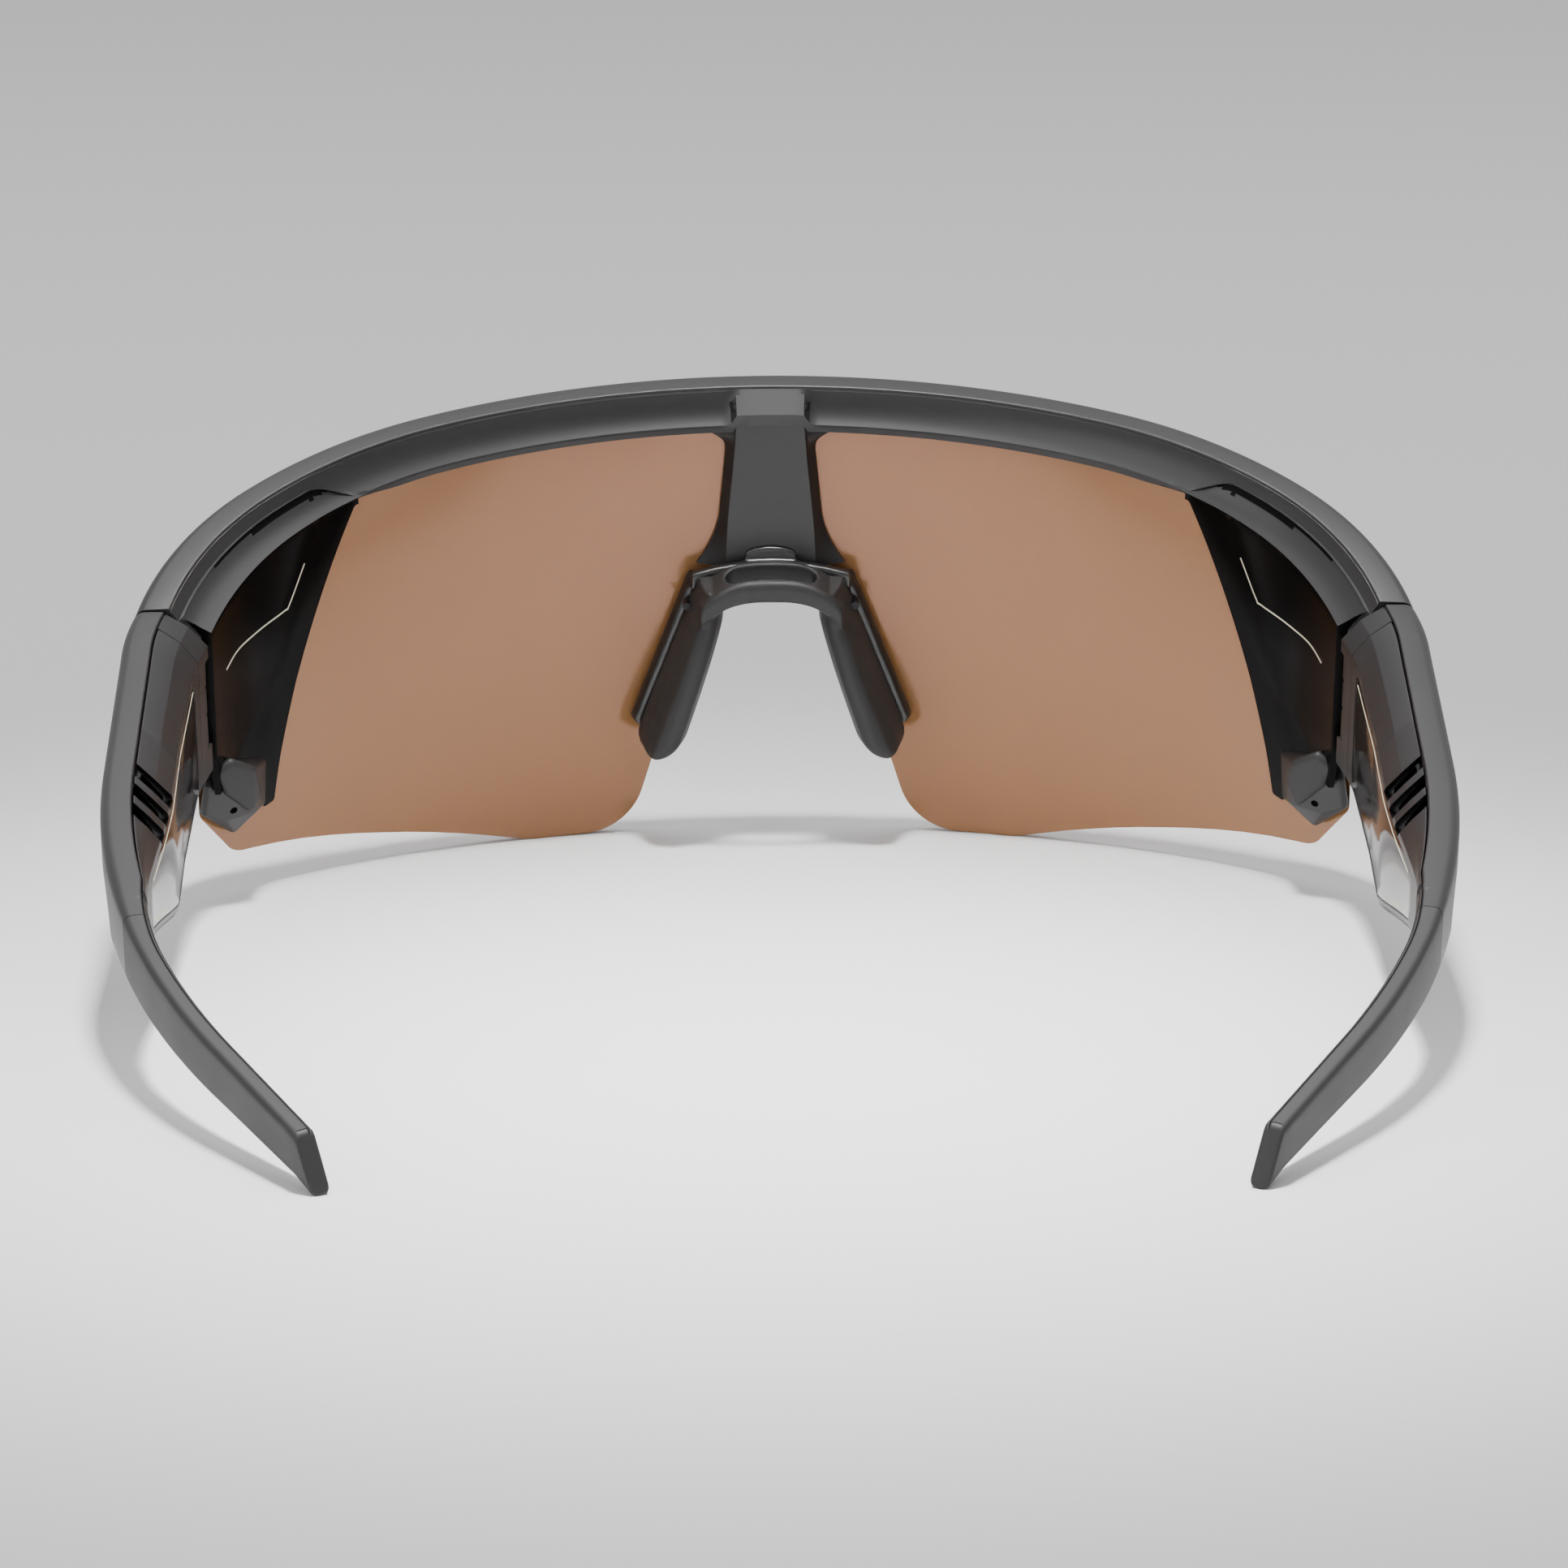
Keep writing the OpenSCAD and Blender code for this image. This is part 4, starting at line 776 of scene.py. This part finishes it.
def wing_ring(z):
    """Contact face inward, a round rear ridge and a hollow outer face; the foot is rounded off."""
    xi, xo = wing_in(z), wing_out(z) - 0.9
    w = xo - xi
    yf = lens_y(xi, z) - BRACKET_GAP - BRACKET_T - 0.95
    yo = lens_y(xo, z) - BRACKET_GAP - BRACKET_T
    drop = mix(6.4, 7.6, smooth((-z - WING_TOP) / 12))
    points = [(xi, yf), (xi - 0.35, yf - 2.2), (xi - 0.1, yf - 4.4),
              (xi + 0.12 * w, yf - drop + 0.8), (xi + 0.35 * w, yf - drop),
              (xi + 0.6 * w, yf - drop + 0.6), (xi + 0.78 * w, yf - drop + 2.4),
              (xi + 0.93 * w, yo - 1.9), (xo, yo - 1.0)]
    foot = clamp01((-z - WING_DEPTH + FOOT_R) / FOOT_R)
    shrink = max(0.08, math.sqrt(1 - foot ** 2))
    cx, cy = (xi + xo) / 2, yf - 0.45 * drop
    points = [(cx + (x - cx) * shrink, cy + (y - cy) * (0.25 + 0.75 * shrink)) for x, y in points]
    return [(x, y, z) for x, y in rounded([(x, y, 1.2) for x, y in points], 4)]


def saddle():
    outer = SADDLE_HALF + 2.6
    rings = []
    for x in steps(-outer, outer, 60):
        q = abs(x) / outer
        sag, y = 3.4 * q ** 3, SADDLE_FRONT + lens_y(x, 0) - lens_y(0, 0)
        top = SADDLE_TOP - sag
        rings.append([(x, b, c) for b, c in rounded(
            [(y, top, 0.4), (y - SADDLE_LEN, top - 0.2, 1.0),
             (y - SADDLE_LEN, top - SADDLE_H - 0.2, 0.8), (y, top - SADDLE_H, 0.5)], 5)])
    body = skin("saddle", rings)
    near, far = SADDLE_FRONT - 1.2, SADDLE_FRONT - 4.9
    slot = rounded([(-SLOT_HALF, near, 1.3), (SLOT_HALF, near, 1.3),
                    (SLOT_HALF - 0.8, far, 1.3), (-SLOT_HALF + 0.8, far, 1.3)], 8)
    return cut(body, prism("tool", slot, 2, SADDLE_TOP - 9, SADDLE_TOP + 9))


def wing(mirrored):
    foot = [-WING_DEPTH + FOOT_R - 2.98 * math.sin(t) for t in steps(0, math.pi / 2, 16)]
    heights = steps(-WING_TOP + 0.6, foot[0], 60)[:-1] + foot
    return skin("wing", [wing_ring(z) for z in heights], mirrored)


pad = join("soft_nose_pad", [wing(False), wing(True), saddle()])
modify(pad, "REMESH", mode="VOXEL", voxel_size=0.2 * MM)
modify(pad, "SMOOTH", factor=0.5, iterations=9)
done(pad, "front", rubber, ["nose_pad"], crease=80)

# %% [markdown]
# ## Side panels
# Between the brow's cove, the lens and the hinge lies a smooth skin. Near the brow it carries the
# cove on, and below it bends round to lie along the lens. Each column of the loft runs from the
# seam in the cove, over the lower ridge, to the edge on the lens, so the front edge is a formula.

# %% Side panels
PANEL_FLOOR = 31.5
PANEL_END = S_SEAM - 1.4
PANEL_ROWS = 26


def lens_edge_z(s):
    run = max(0.0, s - 58)
    return 0.1 - 1.22 * run - 0.0143 * run ** 2


def panel_low(s):
    return max(lens_edge_z(s), -PANEL_FLOOR + 6.5 * smooth((s - 81) / 5))


def panel_d(s, z):
    on_lens = lens_depth(min(s, 76), z) + 0.75
    far = clamp01((s - PANEL_S0) / (PANEL_END - PANEL_S0))
    reach = smooth(max(0.0, (z - lens_edge_z(s)) / 16) + far * 0.25)
    return max(mix(on_lens, low_ridge(s)[0], reach ** 0.7), on_lens)


def panel_section(s):
    u, low, ridge = cover_end(s), panel_low(s), low_ridge(s)
    z0 = max(ridge[1] - 0.4, low + 0.4)
    rows = steps(z0, low, PANEL_ROWS)
    cove = [bevel(s, mix(u, 1.0, v), 0.5) for v in steps(0.02, 0.98, 8)]
    skin_side = [(panel_d(s, z), z) for z in rows]
    back_side = [(max(lens_depth(min(s, 76), z) + 0.15, panel_d(s, z) - 1.25), z)
                 for z in reversed(rows)]
    start = bevel(s, u)
    return cove + [(ridge[0] - 0.03, ridge[1] - 0.1)] + skin_side + back_side + [
        (mix(start[0], back_side[-1][0], 0.4) - 0.5, start[1] - 1.1)]


def side_panel(name, mirrored):
    rings = [ring_at(s, panel_section(s)) for s in steps(PANEL_S0 + 0.4, S_SEAM + 1, 110)]
    piece = skin(name, rings, mirrored)
    return cut(piece, *swing_room(mirrored))


panels = {}
for side, flip in (("right", False), ("left", True)):
    panels[side] = side_panel("inner_panel_" + side, flip)

# %% [markdown]
# ## Corner blocks
# Where the lens meets the hinge sits a small housing with a microphone port, capped by a soft pad.
# Both are convex, so each is the hull of a few small balls.


# %% Hulls with rolled edges
def near_lens(x, z, off):
    return (x, lens_y(x, z) - off * LENS_R / math.sqrt(LENS_R ** 2 - x * x), z)


def pebble(name, points, r, mirrored):
    """The hull of small balls: a pebble-like piece with every edge rolled over to radius r."""
    bm = bmesh.new()
    ball = [Vector((math.cos(u) * math.cos(v), math.sin(u) * math.cos(v), math.sin(v))) * r
            for v in steps(-math.pi / 2, math.pi / 2, 12) for u in steps(0, 2 * math.pi, 24)[:-1]]
    p = np.array([Vector(q) + b for q in points for b in ball])
    if mirrored:
        p[:, 0] *= -1
    for q in place(p):
        bm.verts.new(q)
    bmesh.ops.remove_doubles(bm, verts=bm.verts, dist=0.002 * MM)
    bmesh.ops.convex_hull(bm, input=bm.verts)
    loose = [v for v in bm.verts if not v.link_faces]
    bmesh.ops.delete(bm, geom=loose, context="VERTS")
    bmesh.ops.dissolve_limit(bm, angle_limit=math.radians(0.4), verts=bm.verts, edges=bm.edges)
    bmesh.ops.triangulate(bm, faces=bm.faces)
    bmesh.ops.recalc_face_normals(bm, faces=bm.faces)
    return from_bmesh(name, bm)


BLOCK_FLOOR = -(LOBE_DEPTH - 20) - 3.6
BLOCK = [(HINGE_X - 0.9, HINGE_Y + 2.8, -24.6), (HINGE_X - 1.4, -46.2, -22.6),
         (HINGE_X - 5.2, -45.6, -24.4), (HINGE_X - 5.6, -45.4, BLOCK_FLOOR + 3),
         (HINGE_X - 2.6, -47.4, BLOCK_FLOOR + 3), near_lens(HINGE_X - 0.4, -27.6, 1.0),
         near_lens(HINGE_X - 3.2, BLOCK_FLOOR + 0.4, 0.9),
         near_lens(HINGE_X - 6.2, BLOCK_FLOOR + 1.6, 0.9), near_lens(HINGE_X - 6.4, -26, 0.9)]
BUMPER = [(HINGE_X - 2.0, -48.2, -23.0), (HINGE_X - 3.4, -47.4, -22.2),
          (HINGE_X - 5.6, -46.2, -23.8), (HINGE_X - 6.0, -45.6, -26.6),
          (HINGE_X - 5.4, -46.2, -28.2), (HINGE_X - 3.0, -47.8, -25.2)]
MIC_PORT = (HINGE_X - 3.6, -28.3)
MIC_PORT_R = 0.42


def microphone_port(mirrored):
    rim = circle(*MIC_PORT, MIC_PORT_R, 24)
    rings = [[(x, y, z) for x, z in rim] for y in (-53.2, -45.2)]
    return skin("tool", rings, mirrored)


for side, flip in (("right", False), ("left", True)):
    block = pebble("microphone_housing_" + side, BLOCK, 0.7, flip)
    cut(block, microphone_port(flip), *swing_room(flip))
    done(block, "front", nylon, ["corner_block_" + side], crease=35)
    bumper = pebble("soft_corner_pad_" + side, BUMPER, 0.8, flip)
    cut(bumper, pebble("tool", BLOCK, 0.73, flip), *swing_room(flip))
    done(bumper, "front", rubber, ["corner_bumper_" + side], crease=40)
    cut(panels[side], pebble("tool", BLOCK, 0.75, flip), pebble("tool", BUMPER, 0.85, flip))
    done(panels[side], "front", [panel_shade_gloss, satin], ["side_panel_" + side],
         crease=30)
    # The side panel is one moulding. Faces that point up on the table get the lighter satin finish
    # and all others the darker gloss, so its top is painted lighter and the rest painted darker, as
    # light from above would fall.
    for face in panels[side].data.polygons:
        face.material_index = 1 if face.normal.z > 0.45 else 0

# %% [markdown]
# ## The arms
# An arm is an outer shell, an inner cover let into it and a rubber ear sock. All three share one
# outline, which tapers along the path: a deep box with a bevelled top at the hinge, a thin blade at
# the ear. A groove runs along the top between the shell and the cover.

# %% Arm sections
GROOVE_D = 3.4
WALL = 1.1
TIP_RAKE = 3.6
RISE_FROM, RISE_TO = S_BEND - 4, S_HOUSING - 10
S_COVER, S_COVER_END = S_SEAM + 3.2, S_HOUSING - 6
KINK_S = S_BEND - 10


def arm_top(s):
    return SEAM_TOP * (1 - smooth((s - S_SEAM) / 14))


def arm_thick(s):
    front = ARM_T - 0.8 * clamp01((s - S_SEAM) / 23)
    return mix(front, BLADE_T, smooth((s - S_BEND + 3) / (S_END - S_BEND - 18)))


def arm_low(s):
    if s < RISE_FROM:
        return -HOUSING_H
    if s < RISE_TO:
        return mix(-HOUSING_H, -9.6, (s - RISE_FROM) / (RISE_TO - RISE_FROM))
    return mix(-9.6, -5.4, clamp01((s - RISE_TO) / (S_TIP - RISE_TO)) ** 0.6)


def arm_bevel_z(s):
    return arm_top(s) - mix(4.5, 0.6, smooth((s - S_BEND - 6) / (S_HOUSING - S_BEND)))


def groove_at(s):
    return min(GROOVE_D, arm_thick(s) - 0.7)


def tuck(s):
    return 1.1 * smooth((-arm_low(s) - 7) / 12)


def outer_corners(s):
    """From the foot of the inner wall, under the arm and up the outer face to the groove."""
    t, b, w, g, k = arm_top(s), arm_low(s), arm_thick(s), groove_at(s), tuck(s)
    r = 1.25 * min(1, w / 4)
    return [(w, b, 0.95 * min(1, w / 3)), (k + 0.02, b, 1.1 * min(1, w / 3)),
            (0, mix(t, b, 0.35), 6), (0, t, r), (g + 0.06, t, 0.22)]


def inner_corners(s):
    """From the groove down the bevel to the foot of the inner wall."""
    t, b, w, g, bz = arm_top(s), arm_low(s), arm_thick(s), groove_at(s), arm_bevel_z(s)
    fade = 1 - smooth((s - S_HOUSING + 12) / 12)
    lift = 0.1 + 0.35 * fade * (1 - smooth((s - KINK_S) / 0.8))
    return [(g + 0.26, t - 0.06 - 0.2 * fade, 0.2),
            (mix(g + 0.3, w, 0.55), mix(t - 0.4, bz, 0.5) + lift, 0.8),
            (w - 0.02, bz, 0.35), (w, mix(bz, b, 0.2), 0)]


def solid_section(s):
    g, t = groove_at(s), arm_top(s)
    return rounded(outer_corners(s) + [(g + 0.13, t - 0.42, 0)] + inner_corners(s), 5)


def hollow_section(s):
    """Where the arm is hollow, the shell is a C that is open towards the head."""
    t, b, w, g, k = arm_top(s), arm_low(s), arm_thick(s), groove_at(s), tuck(s) * 0.8
    floor, roof, skin_d = b + WALL, t - WALL - 0.4, WALL + 0.1
    outside = [(w - 0.3, b, 0.5)] + outer_corners(s)[1:]
    inside = [(g + 0.08, t - 0.45, 0), (g + 0.08, roof, 0), (skin_d + 0.5, roof - 0.1, 0),
              (skin_d, roof - 0.6, 0), (skin_d, mix(t, b, 0.5), 0), (skin_d + k, floor + 0.5, 0),
              (skin_d + k + 0.4, floor, 0), (w - 0.7, floor, 0), (w - 0.4, b + 0.55, 0)]
    return rounded(outside + inside, 5)


def cover_ring(s):
    """The inner cover: the bevelled band and the inner wall, as a bent sheet."""
    t, b, w, g, bz = arm_top(s), arm_low(s), arm_thick(s), groove_at(s), arm_bevel_z(s)
    top, mid, low, side = inner_corners(s)
    outer = rounded([(top[0] - 0.08, top[1], 0.1), mid, low, side, (w, b + 1.1, 0.25),
                     (w - 0.15, b + 0.64, 0)], 5)
    back = [(w - 0.9, b + WALL + 0.2), (w - WALL, b + WALL + 0.9), (w - WALL, bz - 0.5),
            (mix(g + 0.3, w, 0.45) - 0.4, mix(t - 0.4, bz, 0.5) - 0.9), (g + 0.22, t - 1.5)]
    return outer + back


print(f"arm: {arm_thick(S_SEAM):.1f} mm thick at the hinge, {arm_thick(S_TIP):.1f} mm at the ear")

# %% Trim, slots and hinge pocket
TRIM_T = 0.45
TRIM_S0, TRIM_S1 = S_COVER + 3, S_HOUSING - 14
TRIM_R = 1.6
SLOT_PITCH = 4.4
SLOT_LEAN = math.radians(58)
BEVEL_TURN = math.radians(42)


def trim_form(name, out, grow, mirrored, deep=TRIM_T):
    """The glossy trim: its ends are rounded by pulling the last few rings together."""
    s0, s1 = TRIM_S0 - grow, TRIM_S1 + grow
    rings = []
    for s in steps(s0, s1, 90):
        near = min(s - s0, s1 - s) / TRIM_R
        pull = TRIM_R * (1 - math.sqrt(1 - (1 - clamp01(near)) ** 2))
        w, high = arm_thick(s), arm_bevel_z(s) - 1.0 + grow - pull
        low = arm_low(s) + 1.4 - grow + pull
        if out > 0.5:
            section = [(w - deep, high), (w + out, high), (w + out, low), (w - deep, low)]
        else:
            section = rounded([(w - deep, high, 0), (w + out, high, 0.12), (w + out, low, 0.12),
                               (w - deep, low, 0)], 3)
        rings.append(ring_at(s, section))
    return skin(name, rings, mirrored)


def slot_forms(mirrored):
    """The speaker's slanted slots, with round ends, cut square to the bevel."""
    tools = []
    for i in range(3):
        s = S_BEND + 0.5 + i * SLOT_PITCH
        centre = Vector(at(s, mix(groove_at(s) + 0.3, arm_thick(s), 0.52), arm_top(s) - 2.4))
        turn = (Quaternion((0, 0, 1), math.pi / 2 - heading(s))
                @ Quaternion((0, 1, 0), BEVEL_TURN) @ Quaternion((0, 0, 1), SLOT_LEAN))
        bar = rounded([(-2.6, -0.75, 0.74), (2.6, -0.75, 0.74), (2.6, 0.75, 0.74),
                       (-2.6, 0.75, 0.74)], 8)
        rings = [[centre + turn @ Vector((x, y, z)) for x, y in bar] for z in (-4, 4)]
        tools.append(skin("tool", rings, mirrored))
    return tools


def hinge_pocket(mirrored):
    low, high = -17.15, -5.85
    return [pillar(HINGE_X, HINGE_Y, RELIEF_R + 0.05, low, high, mirrored),
            box((HINGE_X - 6, HINGE_Y - RELIEF_R, low), (HINGE_X, HINGE_Y + 5, high), mirrored),
            box((HINGE_X, HINGE_Y - 2.88, low),
                (LEAF_X + LEAF_T + 0.1, HINGE_Y + 5, high), mirrored),
            box((LEAF_X - 0.47, HINGE_Y - 12.3, -16.5),
                (LEAF_X + LEAF_T + 0.05, HINGE_Y + 5, -6.5), mirrored)]


# %% Button openings and rings of the ear sock
BUTTON_S = (S_SIDE + 11, S_SIDE + 19.5)
BUTTON_D = 4.3
OPENING_W = 2.7
CAPTURE_LEN, ACTION_LEN, SLIDER_LEN = 7.3, 4.9, 6.3


def opening(s, length, mirrored):
    x, y, _ = at(s, BUTTON_D, 0)
    u, v = OPENING_W / 2, length / 2
    outline = rounded([(x - u, y - v, 0.6), (x + u, y - v, 0.6),
                       (x + u, y + v, 0.6), (x - u, y + v, 0.6)], 5)
    return prism("tool", outline, 2, -HOUSING_H - 3, -HOUSING_H + 3, mirrored)


def sock_ring(s):
    return ring_at(s, solid_section(min(s, S_TIP - 0.4)))


def raked_ring(s, inset):
    """The rear arm ends in a face that leans back towards its foot."""
    t, b = arm_top(S_TIP), arm_low(S_TIP - 0.4)
    middle_z, middle_d = (t + b) / 2, BLADE_T / 2
    ring = []
    for d, z in solid_section(S_TIP - 0.4):
        z = middle_z + (z - middle_z) * (1 - inset * 0.3) - 0.5 * smooth((t - z) / (t - b))
        d = middle_d + (d - middle_d) * (1 - inset * 0.7)
        ring.append(at(s + TIP_RAKE * (t - z) / (t - b) - 0.4, d, z))
    return ring


# %% Arm pieces
def arm_housing(side, flip):
    """A solid front with the knuckle, a hollow middle and a solid rear, made one."""
    front_part = skin("housing_front", [ring_at(s, solid_section(s))
                                        for s in steps(S_SEAM - 4, S_COVER, 14)], flip)
    cut(front_part, box((0, HINGE_Y, -60), (100, HINGE_Y + 20, 30), flip))
    knuckle = pillar(HINGE_X, HINGE_Y, KNUCKLE_R - 0.1, -HOUSING_H + 0.4, SEAM_TOP - 4.3, flip)
    cut(front_part, knuckle, operation="UNION")
    stations = [S_COVER - 0.02] + steps(S_COVER + 0.3, S_HOUSING - 4.3, 110) + [S_HOUSING - 3.98]
    middle = skin("housing_middle", [ring_at(s, hollow_section(s)) for s in stations], flip)
    rear_part = skin("housing_rear", [ring_at(s, solid_section(s))
                                      for s in steps(S_HOUSING - 4, S_HOUSING, 6)], flip)
    shell = cut(front_part, middle, rear_part, operation="UNION")
    shell.name = "arm_housing_" + side
    return cut(shell, *hinge_pocket(flip))


def ear_sock(side, flip):
    rings = [sock_ring(s) for s in steps(S_HOUSING + 0.1, S_TIP - 2, 90) + [S_TIP - 0.4]]
    for t in steps(0, math.pi / 2, 6):
        rings.append(raked_ring(S_TIP + 0.4 * math.sin(t), 0.5 * (1 - math.cos(t)) + 0.12))
    return skin("ear_sock_cover_" + side, rings, flip)


trims = {}
for side, flip in (("right", False), ("left", True)):
    body = "arm_" + side
    shell = arm_housing(side, flip)
    lengths = (CAPTURE_LEN, ACTION_LEN) if side == "right" else (SLIDER_LEN,)
    cut(shell, *[opening(s, length, flip) for s, length in zip(BUTTON_S, lengths)])
    done(shell, body, nylon, ["arm_shell_" + side], crease=34)

    lid = skin("arm_inner_cover_" + side, [ring_at(s, cover_ring(s))
                                           for s in steps(S_COVER + 0.1, S_COVER_END, 150)], flip)
    cut(lid, *hinge_pocket(flip), trim_form("tool", 1, 0.06, flip), *slot_forms(flip))
    done(lid, body, nylon, ["arm_cover_" + side], crease=28)
    trims[side] = done(trim_form("inner_trim_" + side, -0.02, 0, flip), body, polished,
                       ["gloss_panel_" + side], crease=30)
    done(ear_sock(side, flip), body, rubber, ["ear_sock_" + side], crease=40)

# %% [markdown]
# ## Printed hairlines
# Thin cream lines are printed on the polished faces. Each line is a smooth path in the wearer's
# frame that is dropped onto the piece it is printed on, and then given a width across the surface.


# %% Printed lines
def surface_of(piece):
    bm = bmesh.new()
    bm.from_mesh(piece.data)
    tree = BVHTree.FromBMesh(bm)
    bm.free()
    return tree


def smooth_path(points, count):
    """A Catmull-Rom curve through the points."""
    p = [np.array(q, float) for q in points]
    p = [2 * p[0] - p[1]] + p + [2 * p[-1] - p[-2]]
    out = []
    for i in range(1, len(p) - 2):
        for t in steps(0, 1, count)[:-1]:
            out.append(0.5 * (2 * p[i] + (p[i + 1] - p[i - 1]) * t
                              + (2 * p[i - 1] - 5 * p[i] + 4 * p[i + 1] - p[i + 2]) * t * t
                              + (3 * p[i] - p[i - 1] - 3 * p[i + 1] + p[i + 2]) * t ** 3))
    return out + [p[-2]]


def printed_line(name, piece, path, width, mirrored, body, lift=0.03):
    """A flat strip on the piece, closed underneath, so that it is a real film of ink."""
    tree = surface_of(piece)
    hits = []
    for q in path:
        point = Vector(place([-q[0] if mirrored else q[0], q[1], q[2]]))
        where, normal, *_ = tree.find_nearest(point)
        if where is not None:
            hits.append((where, normal))
    rings = []
    for i, (where, normal) in enumerate(hits):
        before, after = hits[max(0, i - 1)][0], hits[min(len(hits) - 1, i + 1)][0]
        along = after - before
        if along.length < 1e-7:
            continue
        across = normal.cross(along.normalized()).normalized() * width * MM / 2
        up = normal * lift * MM
        rings.append([where - across - up, where + across - up,
                      where + across + up, where - across + up])
    n = len(rings)
    faces = [(i * 4 + j, i * 4 + (j + 1) % 4, i * 4 + 4 + (j + 1) % 4, i * 4 + 4 + j)
             for i in range(n - 1) for j in range(4)]
    faces += [(3, 2, 1, 0), tuple((n - 1) * 4 + j for j in range(4))]
    strip = new_piece(name, [tuple(p) for ring in rings for p in ring], faces)
    return done(strip, body, ink, crease=30)


LINE_W = 0.2
PANEL_LINE = [(56.3, -30.4, -3.5), (57.8, -33.2, -8.1), (58.4, -34.2, -8.6), (61, -39.2, -9.0),
              (63, -43.1, -9.3), (64.5, -45.9, -10.3)]


def trim_point(s):
    """The long line on the trim drifts slowly down from the bevel."""
    share = 0.02 + 0.05 * (s - TRIM_S0) / 60
    return at(s, arm_thick(s), mix(arm_bevel_z(s) - 1.6, arm_low(s) + 2.4, share))


for side, flip in (("right", False), ("left", True)):
    printed_line("panel_line_" + side, panels[side], smooth_path(PANEL_LINE, 14), LINE_W, flip,
                 "front")
    along = [trim_point(s) for s in steps(TRIM_S0 + 1.5, TRIM_S1 - 3, 60)]
    printed_line("trim_line_" + side, trims[side], along, LINE_W, flip, "arm_" + side)
    foot = [at(s, arm_thick(s), arm_low(s) + 2.0) for s in steps(S_BEND + 6, TRIM_S1 - 2.5, 40)]
    printed_line("foot_line_" + side, trims[side], foot, LINE_W, flip, "arm_" + side)

# %% [markdown]
# ## Small parts that keep their designed solids
# The camera, the hinge hardware and what lies inside the arms are simple turned, stamped or cut
# parts, so their designed solids are shown as they are, with the finish that each is made in.

# %% Finishes of the small parts
KEPT = {
    "camera_housing": polished, "camera_barrel": blackened, "camera_window": dark_glass,
    "status_light_ring": diffuser, "camera_board": soldermask, "nose_pad_studs": blackened,
    "brow_flex_cable": polyimide, "corner_microphones": steel, "front_leaf_screws": steel,
    "capture_button": polished, "action_button": polished, "power_slider": polished,
    "touch_sensor_right": polyimide,
}
for side in ("left", "right"):
    KEPT["front_hinge_leaf_" + side] = KEPT["rear_hinge_leaf_" + side] = blackened
    KEPT["hinge_pin_" + side] = KEPT["rear_leaf_screws_" + side] = KEPT["arm_core_" + side] = steel
    KEPT["speaker_" + side] = KEPT["speaker_mesh_" + side] = blackened
    KEPT["battery_" + side] = foil
    KEPT["circuit_board_" + side] = soldermask
for name, material in KEPT.items():
    mesh = frame["nodes"][name].data
    mesh.materials.clear()
    mesh.materials.append(material)
    mesh.shade_smooth()
    mesh.set_sharp_from_angle(angle=math.radians(30))
print("kept parts", len(KEPT))

# %% [markdown]
# ## Set
# A pale paper floor that fills the view, one broad soft light from above and behind the glasses, a
# weaker one from the side, a narrow one straight above that brightens the paper between the arms,
# and a pale sky for the reflections.

# %% Floor and sky
floor_bm = bmesh.new()
bmesh.ops.create_grid(floor_bm, x_segments=1, y_segments=1, size=6.0)
floor = from_bmesh("floor", floor_bm)
floor.data.materials.append(paper_floor)

world = bpy.data.worlds.new("studio")
world.use_nodes = True
sky = world.node_tree.nodes["Background"]
sky.inputs["Color"].default_value = linear("#F2F2F4")
sky.inputs["Strength"].default_value = 0.80
bpy.context.scene.world = world


# %% Lights
def area_light(name, location, target, size, watts, spread=180):
    data = bpy.data.lights.new(name, "AREA")
    data.shape = "RECTANGLE"
    data.size, data.size_y = size
    data.energy = watts
    data.spread = math.radians(spread)
    lamp = bpy.data.objects.new(name, data)
    lamp.location = location
    lamp.rotation_euler = (Vector(target) - Vector(location)).to_track_quat("-Z", "Y").to_euler()
    bpy.context.scene.collection.objects.link(lamp)


area_light("overhead", (0.1, 0.25, 0.9), (0, 0, 0), (1.2, 0.8), 5.0)
area_light("side", (-0.7, -0.5, 0.6), (0, 0, 0), (0.5, 0.8), 3.0)
area_light("glow", (0.0, -0.04, 0.75), (0, -0.03, 0), (0.10, 0.10), 0.42, spread=26)

# %% Camera
view = bpy.data.cameras.new("view")
view.lens = 157.75
view.sensor_width = 36.0
view.clip_start = 0.05
camera = bpy.data.objects.new("view", view)
TURN, PITCH, ROLL = math.radians(0.7413), math.radians(12.834), math.radians(-0.2)
camera.location = (-0.0092, -0.7539, 0.1959)
forward = Vector((math.sin(TURN) * math.cos(PITCH), math.cos(TURN) * math.cos(PITCH),
                  -math.sin(PITCH)))
camera.rotation_euler = (forward.to_track_quat("-Z", "Y")
                         @ Quaternion((0, 0, 1), ROLL)).to_euler()
bpy.context.scene.collection.objects.link(camera)
bpy.context.scene.camera = camera
